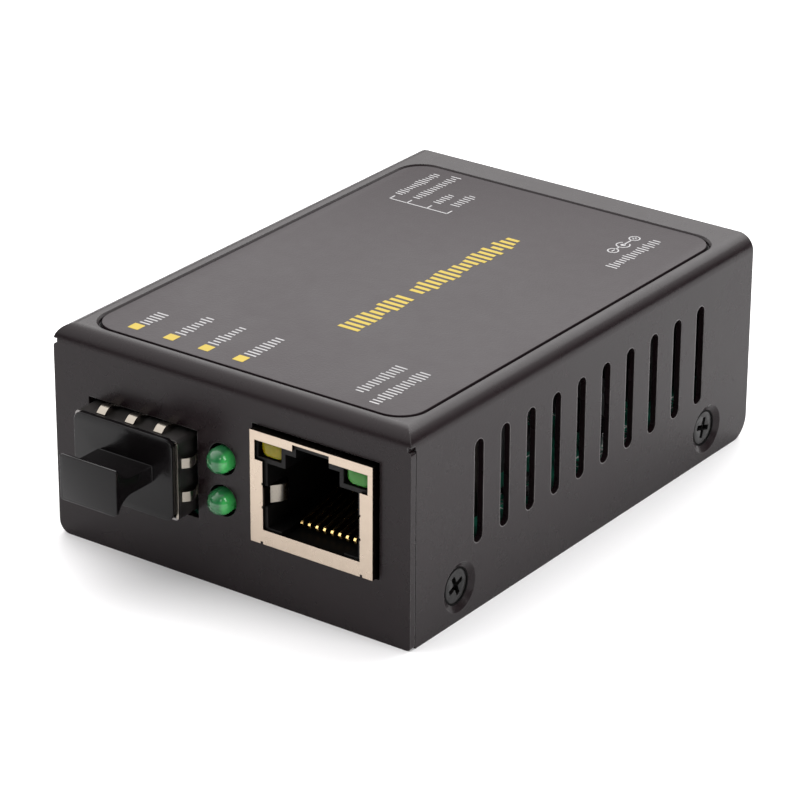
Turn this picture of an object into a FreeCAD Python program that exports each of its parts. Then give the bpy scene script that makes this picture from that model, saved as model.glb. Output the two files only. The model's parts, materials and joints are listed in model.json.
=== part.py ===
import FreeCAD, Part
import math
import os
import Sketcher

# Compact fibre media converter: a folded steel case with a pluggable fibre port, a
# shielded network jack and two status lamps in front, and a power inlet and a bank of
# four slide switches behind.
#
# Millimetres. +X runs to the right along the port panel, +Y from the port panel to the
# rear, +Z up. The origin is on the underside, in the middle of the folded case.

DIMENSIONS = {
    # case
    "case_width": 48.0,
    "case_depth": 67.2,
    "case_height": 25.1,
    "sheet": 0.8,
    "bend_radius": 2.0,
    "seam_gap": 0.15,
    "relief_drop": 2.15,
    "relief_corner": 0.5,
    "left_foot": 1.5,
    "right_foot": 0.5,
    "side_corner": 2.6,
    "tray_fit": 0.12,
    "tray_recess": 0.2,
    "edge_clearance": 0.2,
    # side vents
    "vent_width": 1.82,
    "vent_height": 12.2,
    "vent_low": 7.87,
    "vent_pitch": 4.865,
    "vent_middle": 0.55,
    # label field pressed into the top
    "field_side_margin": 2.5,
    "field_end_margin": 3.1,
    "field_shift_x": 0.35,
    "field_shift_y": 0.8,
    "field_depth": 0.6,
    "field_corner": 3.2,
    "field_rim": 0.25,
    "field_shoulder": 0.5,
    "label_thickness": 0.15,
    "label_gap": 0.12,
    # countersunk side screws
    "screw_inset": 8.9,
    "screw_level": 3.93,
    "dimple_radius": 2.9,
    "dimple_depth": 0.45,
    "dimple_back": 2.6,
    "screw_head_radius": 2.15,
    "screw_head_sink": 0.05,
    "screw_radius": 1.2,
    "screw_length": 4.6,
    "thread_clearance": 0.03,
    "ear_width": 8.0,
    "ear_top": 5.5,
    "collar_wall": 0.45,
    "collar_length": 1.0,
    "cross_width": 0.62,
    "cross_span": 2.5,
    "cross_depth": 1.1,
    # circuit board and its fixings
    "standoff_height": 5.0,
    "standoff_radius": 2.9,
    "board_thickness": 1.6,
    "board_side_gap": 0.7,
    "board_end_gap": 0.4,
    "board_corner": 1.0,
    "board_hole": 1.6,
    "board_screw_head": 2.75,
    "board_screw_head_height": 1.7,
    "board_screw_length": 4.6,
    "lead_clearance": 0.1,
    "lead_stub": 1.0,
    # pluggable fibre port
    "cage_lamp_gap": 1.5,
    "cage_width": 14.2,
    "cage_height": 9.4,
    "cage_length": 47.0,
    "cage_lift": 0.55,
    "cage_wall": 0.3,
    "cage_corner": 0.5,
    "cage_proud": 2.8,
    "cage_cut_width": 15.1,
    "cage_cut_low": 0.6,
    "cage_cut_high": 0.4,
    "cage_opening_length": 11.0,
    "spring_sheet": 0.15,
    "spring_rise": 0.3,
    "spring_width": 1.35,
    "spring_pitch": 3.95,
    "spring_tip": 0.7,
    "spring_reach": 4.4,
    "spring_band": 0.8,
    "tail_width": 0.6,
    # dust plug
    "plug_flange_width": 13.6,
    "plug_flange_height": 9.6,
    "plug_flange": 0.65,
    "plug_flange_corner": 1.1,
    "plug_fit": 0.15,
    "plug_body_length": 12.0,
    "plug_wall": 1.2,
    "grip_width": 7.5,
    "grip_length": 6.0,
    "grip_root": 1.95,
    "grip_tip": 5.2,
    "grip_curve": 2.4,
    "grip_flat": 3.35,
    # network jack
    "jack_lamp_gap": 2.235,
    "jack_width": 16.05,
    "jack_height": 13.05,
    "jack_depth": 21.3,
    "jack_proud": 0.8,
    "jack_sheet": 0.3,
    "jack_cut_margin": 0.32,
    "jack_mouth_width": 12.75,
    "jack_mouth_low": 1.7,
    "jack_mouth_high": 9.7,
    "jack_window_width": 14.8,
    "jack_window_high": 12.0,
    "jack_key_width": 4.8,
    "jack_fit": 0.05,
    "plug_cavity_width": 11.9,
    "plug_cavity_floor": 1.95,
    "plug_cavity_depth": 14.5,
    "first_key_width": 7.1,
    "first_key_high": 11.2,
    "second_key_width": 4.3,
    "second_key_high": 12.2,
    "jack_lamp_width": 3.0,
    "jack_lamp_height": 1.84,
    "jack_lamp_offset": 5.6,
    "jack_lamp_low": 10.08,
    "jack_lamp_length": 9.0,
    "jack_tab_height": 2.1,
    "jack_tab_low": 4.55,
    "jack_tab_lean": 0.45,
    "jack_tab_length": 2.4,
    "channel_width": 8.2,
    "channel_floor": 1.3,
    "contact_pitch": 1.0,
    "contact_width": 0.45,
    # status lamps
    "lamp_x": 0.75,
    "lamp_low": 10.45,
    "lamp_pitch": 4.9,
    "lamp_radius": 1.5,
    "lamp_hole": 1.85,
    "lamp_proud": 0.3,
    "lamp_body": 3.0,
    "lamp_rim": 1.75,
    "lamp_rim_length": 0.9,
    "lamp_lead": 0.5,
    "lamp_lead_spread": 1.27,
    "holder_width": 4.4,
    "holder_top": 0.5,
    "holder_depth": 4.5,
    # power inlet
    "inlet_side": 9.4,
    "inlet_width": 9.0,
    "inlet_height": 11.0,
    "inlet_depth": 14.2,
    "inlet_flange": 3.4,
    "inlet_axis": 6.5,
    "inlet_bore": 3.2,
    "inlet_bore_depth": 10.0,
    "inlet_pin": 1.0,
    "inlet_pin_length": 9.2,
    "inlet_cut_margin": 0.15,
    "inlet_body_width": 8.0,
    "inlet_inset": 0.1,
    # slide switches
    "switch_inset": 11.6,
    "switch_pitch": 2.54,
    "switch_width": 11.7,
    "switch_height": 6.0,
    "switch_depth": 6.6,
    "slider_width": 1.1,
    "slider_height": 1.5,
    "slider_travel": 1.2,
    "slider_foot": 0.6,
    "slider_foot_width": 1.9,
    "slider_lip": 0.6,
    "slider_clearance": 0.12,
    "slider_low": 1.65,
    "slider_proud": 0.9,
}

VENTS = 10
JACK_CONTACTS = 8
SWITCHES = 4

doc = FreeCAD.newDocument("media_converter")
sheet = doc.addObject("Spreadsheet::Sheet", "dims")
for row, (alias, value) in enumerate(DIMENSIONS.items(), start=1):
    sheet.set(f"A{row}", alias)
    sheet.set(f"B{row}", repr(value))
    sheet.setAlias(f"B{row}", alias)
doc.recompute()


class Size:
    """A length: its value, and the spreadsheet expression that a property is bound to."""

    def __init__(self, value, text):
        self.value = value
        self.text = text

    def _with(self, sign, other, value):
        return Size(value, f"({self.text} {sign} {text_of(other)})")

    def __add__(self, other):
        return self._with("+", other, self.value + value_of(other))

    def __sub__(self, other):
        return self._with("-", other, self.value - value_of(other))

    def __mul__(self, other):
        return self._with("*", other, self.value * value_of(other))

    def __truediv__(self, other):
        return self._with("/", other, self.value / value_of(other))

    def __neg__(self):
        return Size(-self.value, f"(-1 * {self.text})")

    def __radd__(self, other):
        return self + other

    def __rsub__(self, other):
        return -self + other

    def __rmul__(self, other):
        return self * other


def value_of(size):
    return size.value if isinstance(size, Size) else float(size)


def text_of(size):
    return size.text if isinstance(size, Size) else repr(float(size))


class Sizes:
    """Every driving dimension as a Size, read from the spreadsheet."""

    def __getattr__(self, alias):
        return Size(float(sheet.get(alias)), f"dims.{alias}")


d = Sizes()

# Planes and levels that several pieces share.
FRONT = -d.case_depth / 2
REAR = d.case_depth / 2
SIDE = d.case_width / 2
TOP = d.case_height
PANEL_BACK = FRONT + d.sheet
BOARD_UNDER = d.sheet + d.standoff_height
BOARD_TOP = BOARD_UNDER + d.board_thickness
TRAY_REAR = REAR - d.tray_recess
BOARD_FRONT = PANEL_BACK + d.board_end_gap
BOARD_REAR = TRAY_REAR - d.sheet - d.board_end_gap
BOARD_HALF = SIDE - d.sheet - d.board_side_gap
STUB_LOW = BOARD_UNDER - d.lead_stub

# Across the front: the fibre port, the lamps and the jack stand side by side.
LAMP_X = -d.lamp_x
CAGE_X = LAMP_X - d.lamp_hole - d.cage_lamp_gap - d.cage_cut_width / 2
JACK_X = LAMP_X + d.lamp_hole + d.jack_lamp_gap + d.jack_cut_margin + d.jack_width / 2

CAGE_LOW = BOARD_TOP + d.cage_lift
CAGE_HIGH = CAGE_LOW + d.cage_height
CAGE_MIDDLE = CAGE_LOW + d.cage_height / 2
CAGE_FRONT = FRONT - d.cage_proud
CAGE_REAR = CAGE_FRONT + d.cage_length

JACK_FRONT = FRONT - d.jack_proud
JACK_REAR = JACK_FRONT + d.jack_depth
JACK_HIGH = BOARD_TOP + d.jack_height

LAMP_LEVELS = (d.lamp_low, d.lamp_low + d.lamp_pitch)
LAMP_TIP_CENTRE = FRONT - d.lamp_proud
LAMP_REAR = LAMP_TIP_CENTRE + d.lamp_body + d.lamp_rim_length
INLET_X = SIDE - d.inlet_side
SWITCH_X = d.switch_inset - SIDE

EAR_FACE = SIDE - d.sheet - d.dimple_depth
SCREW_ROWS = (FRONT + d.screw_inset, REAR - d.screw_inset)

# Where the board is screwed down: beside the lamps, and behind the ports.
STANDOFFS = (
    (LAMP_X + 0.3, FRONT + 13.1),
    (5.6 - SIDE, REAR - 16.1),
    (SIDE - 5.4, 8.5),
    (1.6, REAR - 5.2),
)

VECTOR = FreeCAD.Vector
TURNS = {
    "XY": FreeCAD.Rotation(),
    "XZ": FreeCAD.Rotation(VECTOR(1, 0, 0), 90),
    "YZ": FreeCAD.Rotation(VECTOR(1, 1, 1), 120),
}
# A twelve-sided hole clears a round rod when its corners stand out by this factor.
TWELVE_SIDES = 1.0353

NORMALS = {"XY": VECTOR(0, 0, 1), "XZ": VECTOR(0, 1, 0), "YZ": VECTOR(1, 0, 0)}
AXIS_NAMES = {"XY": "z", "XZ": "y", "YZ": "x"}
AXES = {"x": VECTOR(1, 0, 0), "y": VECTOR(0, 1, 0), "z": VECTOR(0, 0, 1)}


def bind(thing, prop, size):
    """Ties a property to the spreadsheet, or sets it where the size is a plain number."""
    if isinstance(size, Size):
        thing.setExpression(prop, size.text)
    elif "." in prop:
        thing.setExpression(prop, repr(float(size)))
    else:
        setattr(thing, prop, float(size))


def place(thing, x, y, z):
    for axis, size in zip("xyz", (x, y, z)):
        bind(thing, f"Placement.Base.{axis}", size)


# Outlines -----------------------------------------------------------------------------


def rect(x0, y0, x1, y1, radius=None):
    return [(x0, y0, radius), (x1, y0, radius), (x1, y1, radius), (x0, y1, radius)]


def ring(x, y, radius):
    """A circle, told apart from a corner list by its name."""
    return ("circle", x, y, radius)


def point_of(corner):
    return VECTOR(value_of(corner[0]), value_of(corner[1]), 0)


def fix(sketch, kind, geometry, vertex, size):
    """Dimensions a vertex from the sketch's origin."""
    index = sketch.addConstraint(
        Sketcher.Constraint(kind, -1, 1, geometry, vertex, value_of(size))
    )
    if isinstance(size, Size):
        sketch.setExpression(f"Constraints[{index}]", size.text)


def fix_radius(sketch, geometry, size):
    index = sketch.addConstraint(Sketcher.Constraint("Radius", geometry, value_of(size)))
    if isinstance(size, Size):
        sketch.setExpression(f"Constraints[{index}]", size.text)


def draw_circle(sketch, x, y, radius):
    centre = VECTOR(value_of(x), value_of(y), 0)
    circle = Part.Circle(centre, VECTOR(0, 0, 1), value_of(radius))
    geometry = sketch.addGeometry(circle, False)
    fix(sketch, "DistanceX", geometry, 3, x)
    fix(sketch, "DistanceY", geometry, 3, y)
    fix_radius(sketch, geometry, radius)


def draw_loop(sketch, corners):
    """Draws a closed outline. Upright and level sides may have rounded corners between."""
    count = len(corners)
    points = [point_of(c) for c in corners]
    radii = [0.0 if len(c) < 3 or c[2] is None else value_of(c[2]) for c in corners]
    along = [(points[(i + 1) % count] - points[i]).normalize() for i in range(count)]
    lines = []
    for i in range(count):
        start = points[i] + along[i] * radii[i]
        end = points[(i + 1) % count] - along[i] * radii[(i + 1) % count]
        lines.append(sketch.addGeometry(Part.LineSegment(start, end), False))
    for i in range(count):
        level = abs(along[i].y) < 1e-9
        upright = abs(along[i].x) < 1e-9
        if level:
            sketch.addConstraint(Sketcher.Constraint("Horizontal", lines[i]))
            fix(sketch, "DistanceY", lines[i], 1, corners[i][1])
        elif upright:
            sketch.addConstraint(Sketcher.Constraint("Vertical", lines[i]))
            fix(sketch, "DistanceX", lines[i], 1, corners[i][0])
        before = along[i - 1]
        if not level and abs(before.y) >= 1e-9:
            fix(sketch, "DistanceY", lines[i], 1, corners[i][1])
        if not upright and abs(before.x) >= 1e-9:
            fix(sketch, "DistanceX", lines[i], 1, corners[i][0])
    for i in range(count):
        before, here = lines[i - 1], lines[i]
        if not radii[i]:
            sketch.addConstraint(Sketcher.Constraint("Coincident", before, 2, here, 1))
            continue
        turn_left = along[i - 1].cross(along[i]).z > 0
        side = VECTOR(-along[i].y, along[i].x, 0) * (1 if turn_left else -1)
        start = points[i] - along[i - 1] * radii[i]
        end = points[i] + along[i] * radii[i]
        centre = end + side * radii[i]
        middle = centre + (points[i] - centre).normalize() * radii[i]
        arc = sketch.addGeometry(Part.Arc(start, middle, end), False)
        first, last = (1, 2) if turn_left else (2, 1)
        sketch.addConstraint(Sketcher.Constraint("Tangent", before, 2, arc, first))
        sketch.addConstraint(Sketcher.Constraint("Tangent", arc, last, here, 1))
        fix_radius(sketch, arc, corners[i][2])


def draw(sketch, loops):
    for loop in loops:
        if loop[0] == "circle":
            draw_circle(sketch, *loop[1:])
        else:
            draw_loop(sketch, loop)


# Part workbench helpers ---------------------------------------------------------------


def prism(name, plane, start, length, *loops):
    """Outlines on a plane, drawn out from start along that plane's axis."""
    sketch = doc.addObject("Sketcher::SketchObject", name + "_outline")
    sketch.Placement = FreeCAD.Placement(VECTOR(0, 0, 0), TURNS[plane])
    bind(sketch, f"Placement.Base.{AXIS_NAMES[plane]}", start)
    draw(sketch, loops)
    solid = doc.addObject("Part::Extrusion", name)
    solid.Base = sketch
    solid.DirMode = "Custom"
    solid.Dir = NORMALS[plane]
    bind(solid, "LengthFwd", length)
    solid.Solid = True
    return solid


def block(name, x0, y0, z0, x1, y1, z1):
    """A box between two corners."""
    solid = doc.addObject("Part::Box", name)
    for prop, low, high in (("Length", x0, x1), ("Width", y0, y1), ("Height", z0, z1)):
        bind(solid, prop, high - low)
    place(solid, x0, y0, z0)
    return solid


def rod(name, axis, x, y, z, radius, length):
    solid = doc.addObject("Part::Cylinder", name)
    solid.Placement = FreeCAD.Placement(
        VECTOR(0, 0, 0), FreeCAD.Rotation(VECTOR(0, 0, 1), AXES[axis])
    )
    bind(solid, "Radius", radius)
    bind(solid, "Height", length)
    place(solid, x, y, z)
    return solid


def post(name, axis, x, y, z, radius, length, sides=12):
    """A many-sided rod, for what repeats: slot ends, and shanks inside the case."""
    solid = doc.addObject("Part::Prism", name)
    solid.Placement = FreeCAD.Placement(
        VECTOR(0, 0, 0), FreeCAD.Rotation(VECTOR(0, 0, 1), AXES[axis])
    )
    solid.Polygon = sides
    bind(solid, "Circumradius", radius)
    bind(solid, "Height", length)
    place(solid, x, y, z)
    return solid


def cone(name, axis, x, y, z, radius, end_radius, length):
    """A frustum; a negative axis name such as -x points it the other way."""
    direction = AXES[axis[-1]] * (-1 if axis.startswith("-") else 1)
    solid = doc.addObject("Part::Cone", name)
    solid.Placement = FreeCAD.Placement(
        VECTOR(0, 0, 0), FreeCAD.Rotation(VECTOR(0, 0, 1), direction)
    )
    bind(solid, "Radius1", radius)
    bind(solid, "Radius2", end_radius)
    bind(solid, "Height", length)
    place(solid, x, y, z)
    return solid


def ball(name, x, y, z, radius):
    solid = doc.addObject("Part::Sphere", name)
    bind(solid, "Radius", radius)
    place(solid, x, y, z)
    return solid


def fuse(name, *shapes):
    solid = doc.addObject("Part::MultiFuse", name)
    solid.Shapes = list(shapes)
    return solid


def group(name, *shapes):
    """Separate solids that share one node."""
    solid = doc.addObject("Part::Compound", name)
    solid.Links = list(shapes)
    return solid


def cut(name, base, *tools):
    solid = doc.addObject("Part::Cut", name)
    solid.Base = base
    solid.Tool = tools[0] if len(tools) == 1 else group(name + "_tools", *tools)
    return solid


def common(name, first, second):
    solid = doc.addObject("Part::Common", name)
    solid.Base = first
    solid.Tool = second
    return solid


# PartDesign helpers -------------------------------------------------------------------

POCKETS = []


def new_body(name):
    return doc.addObject("PartDesign::Body", name)


def body_sketch(body, name, plane, start, loops):
    sketch = body.newObject("Sketcher::SketchObject", name + "_outline")
    role = plane + "_Plane"
    origin = next(f for f in body.Origin.OriginFeatures if f.Role == role)
    sketch.AttachmentSupport = [(origin, "")]
    sketch.MapMode = "FlatFace"
    offset = -start if plane == "XZ" else start
    bind(sketch, "AttachmentOffset.Base.z", offset)
    draw(sketch, loops)
    return sketch


def pad(body, name, plane, start, length, *loops):
    feature = body.newObject("PartDesign::Pad", name)
    feature.Profile = body_sketch(body, name, plane, start, loops)
    feature.Reversed = plane == "XZ"
    bind(feature, "Length", length)
    return feature


def pocket(body, name, plane, start, length, *loops):
    feature = body.newObject("PartDesign::Pocket", name)
    feature.Profile = body_sketch(body, name, plane, start, loops)
    feature.Reversed = plane != "XZ"
    bind(feature, "Length", length)
    POCKETS.append((body, feature))
    return feature


PARTS = []


def part(label, shape):
    """Gives a sub-part its name and puts it on the list that is written out."""
    shape.Label = label
    PARTS.append(shape)
    return shape


# Case ---------------------------------------------------------------------------------


def nib(name, plane, start, length, x, y, dx, dy, radius):
    """What is cut off a square corner at x, y to round it; dx and dy point inwards."""
    margin = 0.5
    xs = (x - margin, x + radius) if dx > 0 else (x - radius, x + margin)
    ys = (y - margin, y + radius) if dy > 0 else (y - radius, y + margin)
    square = prism(name + "_square", plane, start, length, rect(xs[0], ys[0], xs[1], ys[1]))
    centre = (x + radius * dx, y + radius * dy)
    arc = prism(name + "_arc", plane, start, length, ring(centre[0], centre[1], radius))
    return cut(name, square, arc)


def folded(name, inset, low, rear):
    """The folded case as a solid, its outside moved inwards by inset."""
    bend = d.bend_radius - inset
    half, top, front = SIDE - inset, TOP - inset, FRONT + inset
    across = [(-half, low), (half, low), (half, top, bend), (-half, top, bend)]
    along = [(front, low), (rear, low), (rear, top), (front, top, bend)]
    across_solid = prism(name + "_across", "XZ", front, rear - front, across)
    along_solid = prism(name + "_along", "YZ", -half, half * 2, along)
    return common(name, across_solid, along_solid)


def field_corners(grow, corner):
    """The outline of the pressed label field, grown by a margin."""
    half_width = SIDE - d.field_side_margin + grow
    half_length = REAR - d.field_end_margin + grow
    x, y = d.field_shift_x, -d.field_shift_y
    return rect(x - half_width, y - half_length, x + half_width, y + half_length, corner)


def dimple(name, side, y):
    """The cutter for one countersunk screw seat, pressed into a side from outside."""
    point = "-x" if side > 0 else "x"
    mouth = cone(
        name + "_mouth", point, SIDE * side, y, d.screw_level,
        d.dimple_radius, d.screw_head_radius, d.dimple_depth,
    )
    seat = cone(
        name + "_seat", point, (SIDE - d.dimple_depth) * side, y, d.screw_level,
        d.screw_head_radius, d.screw_head_radius - d.sheet, d.sheet,
    )
    return fuse(name, mouth, seat)


def vent(name, y):
    """The cutter for one upright slot, through both sides of the cover."""
    half = d.vent_width / 2
    low, high = d.vent_low + half, d.vent_low + d.vent_height - half
    start, length = -SIDE - 1, d.case_width + 2
    middle = block(name + "_middle", start, y - half, low, SIDE + 1, y + half, high)
    ends = [post(f"{name}_end_{tag}", "x", start, y, level, half, length, sides=16)
            for tag, level in (("low", low), ("high", high))]
    return fuse(name, middle, *ends)


def make_cover():
    shell = cut(
        "cover_shell",
        folded("cover_outside", 0.0, 0.0, REAR),
        folded("cover_inside", d.sheet, -1.0, REAR + 1),
    )
    grow = d.field_shoulder
    boss = prism(
        "field_boss", "XY", TOP - d.sheet - d.field_depth, d.sheet,
        field_corners(grow, d.field_corner + grow),
    )
    swells = [
        post(
            f"dimple_back_{i}", "x", (EAR_FACE if side > 0 else -(SIDE - d.sheet)), y,
            d.screw_level, d.dimple_back, d.dimple_depth,
        )
        for i, (side, y) in enumerate((s, y) for s in (1, -1) for y in SCREW_ROWS)
    ]
    pressed = fuse("cover_pressed", shell, boss, *swells)

    field = prism("field_cut", "XY", TOP - d.field_depth, d.field_depth * 2,
                  field_corners(0.0, d.field_corner))
    rim = prism("field_rim_cut", "XY", TOP - d.field_rim, d.field_rim + 0.1,
                field_corners(0.0, d.field_corner))
    rim.TaperAngle = 45.0
    cuts = [field, rim]
    cuts += [
        dimple(f"dimple_{i}", side, y)
        for i, (side, y) in enumerate((s, y) for s in (1, -1) for y in SCREW_ROWS)
    ]

    first = d.vent_middle - d.vent_pitch * (VENTS - 1) / 2
    cuts += [vent(f"vent_{i}", first + d.vent_pitch * i) for i in range(VENTS)]

    # The front flange stands clear of the sides, below the closed corner of the bends.
    relief = TOP - d.relief_drop
    for side in (1, -1):
        edge = SIDE * side
        inner, outer = sorted(
            ((SIDE - d.sheet - 0.5) * side, (SIDE + 1) * side), key=value_of
        )
        tag = "right" if side > 0 else "left"
        cuts.append(block(f"seam_{tag}", inner, PANEL_BACK, -d.sheet,
                          outer, PANEL_BACK + d.seam_gap, relief))
        foot = d.right_foot if side > 0 else d.left_foot
        for name, z, rise, radius in (
            ("relief", relief, -1, d.relief_corner), ("foot", 0.0, 1, foot),
        ):
            cuts.append(nib(f"{name}_{tag}", "XZ", FRONT - 1, d.sheet + 1,
                            edge, z, -side, rise, radius))
    cuts.append(nib("heel", "YZ", -SIDE - 1, d.case_width + 2,
                    REAR, 0.0, -1, 1, d.side_corner))

    half_cut = d.cage_cut_width / 2
    cage_cut = rect(CAGE_X - half_cut, CAGE_LOW - d.cage_cut_low,
                    CAGE_X + half_cut, CAGE_HIGH + d.cage_cut_high)
    half_jack = d.jack_width / 2 + d.jack_cut_margin
    jack_cut = rect(JACK_X - half_jack, BOARD_TOP - d.edge_clearance,
                    JACK_X + half_jack, JACK_HIGH + d.jack_cut_margin)
    lamp_cuts = [ring(LAMP_X, level, d.lamp_hole) for level in LAMP_LEVELS]
    cuts.append(prism("port_cuts", "XZ", FRONT - 1, d.sheet + 2,
                      cage_cut, jack_cut, *lamp_cuts))
    part("top_cover", cut("top_cover", pressed, *cuts))


def ear(tag, side, y):
    """One upturned ear with its extruded, tapped collar."""
    face = EAR_FACE * side
    inner, root = (EAR_FACE - d.sheet) * side, (EAR_FACE - d.sheet * 3) * side
    profile = [
        (root, 0), (face, 0, d.sheet * 1.5), (face, d.ear_top),
        (inner, d.ear_top), (inner, d.sheet, d.sheet / 2), (root, d.sheet),
    ]
    tab = prism(f"ear_{tag}_tab", "XZ", y - d.ear_width / 2, d.ear_width, profile)
    start = EAR_FACE - d.sheet - d.collar_length if side > 0 else -EAR_FACE
    length = d.sheet + d.collar_length
    hole = (d.screw_radius + d.thread_clearance) * TWELVE_SIDES
    collar = post(f"ear_{tag}_collar", "x", start, y, d.screw_level,
                  hole + d.collar_wall, length)
    return tab, collar


def make_tray():
    half = SIDE - d.sheet - d.tray_fit
    front = PANEL_BACK + d.tray_fit
    rise = TOP - d.sheet - d.tray_fit
    profile = [
        (front, 0), (TRAY_REAR, 0, d.sheet * 2), (TRAY_REAR, rise),
        (TRAY_REAR - d.sheet, rise), (TRAY_REAR - d.sheet, d.sheet, d.sheet),
        (front, d.sheet),
    ]
    folded_sheet = prism("tray_sheet", "YZ", -half, half * 2, profile)

    cuts = []
    reach = d.ear_width / 2 + d.sheet / 2
    for i, (side, y) in enumerate((s, y) for s in (1, -1) for y in SCREW_ROWS):
        inner, outer = sorted(
            ((EAR_FACE - d.sheet * 2.5) * side, (half + 1) * side), key=value_of
        )
        cuts.append(block(f"ear_relief_{i}", inner, y - reach, -1, outer, y + reach, 2))
    for side in (1, -1):
        tag = "right" if side > 0 else "left"
        cuts.append(nib(f"panel_corner_{tag}", "XZ", TRAY_REAR - d.sheet * 2, d.sheet * 3,
                        half * side, rise, -side, -1, d.bend_radius))
    margin = d.inlet_cut_margin
    half_inlet, half_switch = d.inlet_width / 2 + margin, d.switch_width / 2 + margin
    inlet_cut = rect(INLET_X - half_inlet, BOARD_TOP - margin,
                     INLET_X + half_inlet, BOARD_TOP + d.inlet_height + margin)
    switch_cut = rect(SWITCH_X - half_switch, BOARD_TOP - margin,
                      SWITCH_X + half_switch, BOARD_TOP + d.switch_height + margin)
    cuts.append(prism("rear_cuts", "XZ", TRAY_REAR - d.sheet * 2, d.sheet * 3,
                      inlet_cut, switch_cut))
    bare = cut("tray_bare", folded_sheet, *cuts)

    pieces, holes = [], []
    for i, (side, y) in enumerate((s, y) for s in (1, -1) for y in SCREW_ROWS):
        pieces += ear(i, side, y)
        start = EAR_FACE - d.sheet * 3 if side > 0 else -EAR_FACE - 1
        hole = (d.screw_radius + d.thread_clearance) * TWELVE_SIDES
        holes.append(post(f"ear_hole_{i}", "x", start, y, d.screw_level,
                          hole, d.sheet * 3 + 1))
    with_ears = fuse("tray_with_ears", bare, *pieces)
    part("base_tray", cut("base_tray", with_ears, *holes))


def cross(name, plane, start, length, x, y):
    """The cutter for a cross recess."""
    arm, half = d.cross_span / 2, d.cross_width / 2
    level = prism(name + "_level", plane, start, length,
                  rect(x - arm, y - half, x + arm, y + half))
    upright = prism(name + "_upright", plane, start, length,
                    rect(x - half, y - arm, x + half, y + arm))
    return fuse(name, level, upright)


def make_cover_screws():
    screws = []
    for i, (side, y) in enumerate((s, y) for s in (1, -1) for y in SCREW_ROWS):
        point = "-x" if side > 0 else "x"
        face = SIDE - d.dimple_depth - d.screw_head_sink
        radius = d.screw_head_radius - d.screw_head_sink - d.thread_clearance
        depth = d.sheet - d.screw_head_sink
        head = cone(f"screw_{i}_head", point, face * side, y, d.screw_level,
                    radius, radius - depth, depth)
        low = face - d.screw_length if side > 0 else -face
        shank = post(f"screw_{i}_shank", "x", low, y, d.screw_level,
                     d.screw_radius, d.screw_length)
        start = face - d.cross_depth if side > 0 else -face - 1
        recess = cross(f"screw_{i}_cross", "YZ", start, d.cross_depth + 1,
                       y, d.screw_level)
        solid = fuse(f"screw_{i}_solid", head, shank)
        screws.append(cut(f"screw_{i}", solid, recess))
    part("cover_screws", group("cover_screws", *screws))


def make_label():
    inset = -d.label_gap
    part("label_overlay", prism(
        "label_overlay", "XY", TOP - d.field_depth, d.label_thickness,
        field_corners(inset, d.field_corner + inset),
    ))


make_cover()
make_tray()
make_cover_screws()
make_label()


# Circuit board ------------------------------------------------------------------------

CAGE_TAILS = (-27.0, -12.0, 3.0)
CONTACT_ROWS = (JACK_REAR - 5.6, JACK_REAR - 3.06)
HOLDER_REAR = LAMP_REAR + d.holder_depth
LEAD_ROWS = (HOLDER_REAR - 2.4, HOLDER_REAR - 1.1)
INLET_FACE = TRAY_REAR - d.inlet_inset
INLET_BACK = INLET_FACE - d.inlet_depth
SWITCH_FACE = TRAY_REAR - d.inlet_inset * 3
SHIELD_TAIL = JACK_FRONT + 6.4


def around(x, y, half_x, half_y, spare=0.0, radius=None):
    """A rectangle about a centre, with room to spare on every side."""
    return rect(x - half_x - spare, y - half_y - spare, x + half_x + spare,
                y + half_y + spare, radius)


def contact_x(i):
    return JACK_X + d.contact_pitch * (i - (JACK_CONTACTS - 1) / 2)


def switch_x(i):
    return SWITCH_X + d.switch_pitch * (i - (SWITCHES - 1) / 2)


def lead_holes():
    """Openings in the board for everything that is soldered through it."""
    spare = d.lead_clearance
    loops = []
    for side in (1, -1):
        x = CAGE_X + (d.cage_width - d.cage_wall) / 2 * side
        loops += [around(x, y, d.cage_wall / 2, d.tail_width / 2, spare)
                  for y in CAGE_TAILS]
        x = JACK_X + (d.jack_width - d.jack_sheet) / 2 * side
        loops.append(around(x, SHIELD_TAIL, d.jack_sheet / 2, d.tail_width, spare))
        for row in LEAD_ROWS:
            loops.append(around(LAMP_X + d.lamp_lead_spread * side, row,
                                d.lamp_lead / 2, d.lamp_lead / 2, spare))
    for i in range(JACK_CONTACTS):
        loops.append(around(contact_x(i), CONTACT_ROWS[i % 2],
                            d.contact_width / 2, d.contact_width / 2, spare))
    for x, y, half_x, half_y in TERMINALS:
        loops.append(around(x, y, half_x, half_y, spare))
    for i in range(SWITCHES):
        for y in SWITCH_PINS:
            loops.append(around(switch_x(i), y, d.contact_width / 2,
                                d.contact_width / 2, spare))
    return loops


TERMINALS = (
    (INLET_X, INLET_BACK + 0.9, 1.4, 0.3),
    (INLET_X, INLET_BACK + 6.9, 1.4, 0.3),
    (INLET_X - d.inlet_body_width / 2 + 0.5, INLET_BACK + 3.9, 0.3, 1.2),
)
SWITCH_PINS = (SWITCH_FACE - 5.6, SWITCH_FACE - 3.06)


def twelve(x, y, radius):
    """A twelve-sided outline."""
    return [(x + radius * math.cos(math.radians(30 * i)),
             y + radius * math.sin(math.radians(30 * i))) for i in range(12)]


def make_board():
    body = new_body("circuit_board")
    pad(body, "board_blank", "XY", BOARD_UNDER, d.board_thickness,
        rect(-BOARD_HALF, BOARD_FRONT, BOARD_HALF, BOARD_REAR, d.board_corner))
    pocket(body, "board_screw_holes", "XY", BOARD_UNDER, d.board_thickness,
           *[twelve(x, y, d.board_hole) for x, y in STANDOFFS])
    pocket(body, "board_lead_holes", "XY", BOARD_UNDER, d.board_thickness, *lead_holes())
    part("circuit_board", body)


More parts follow.
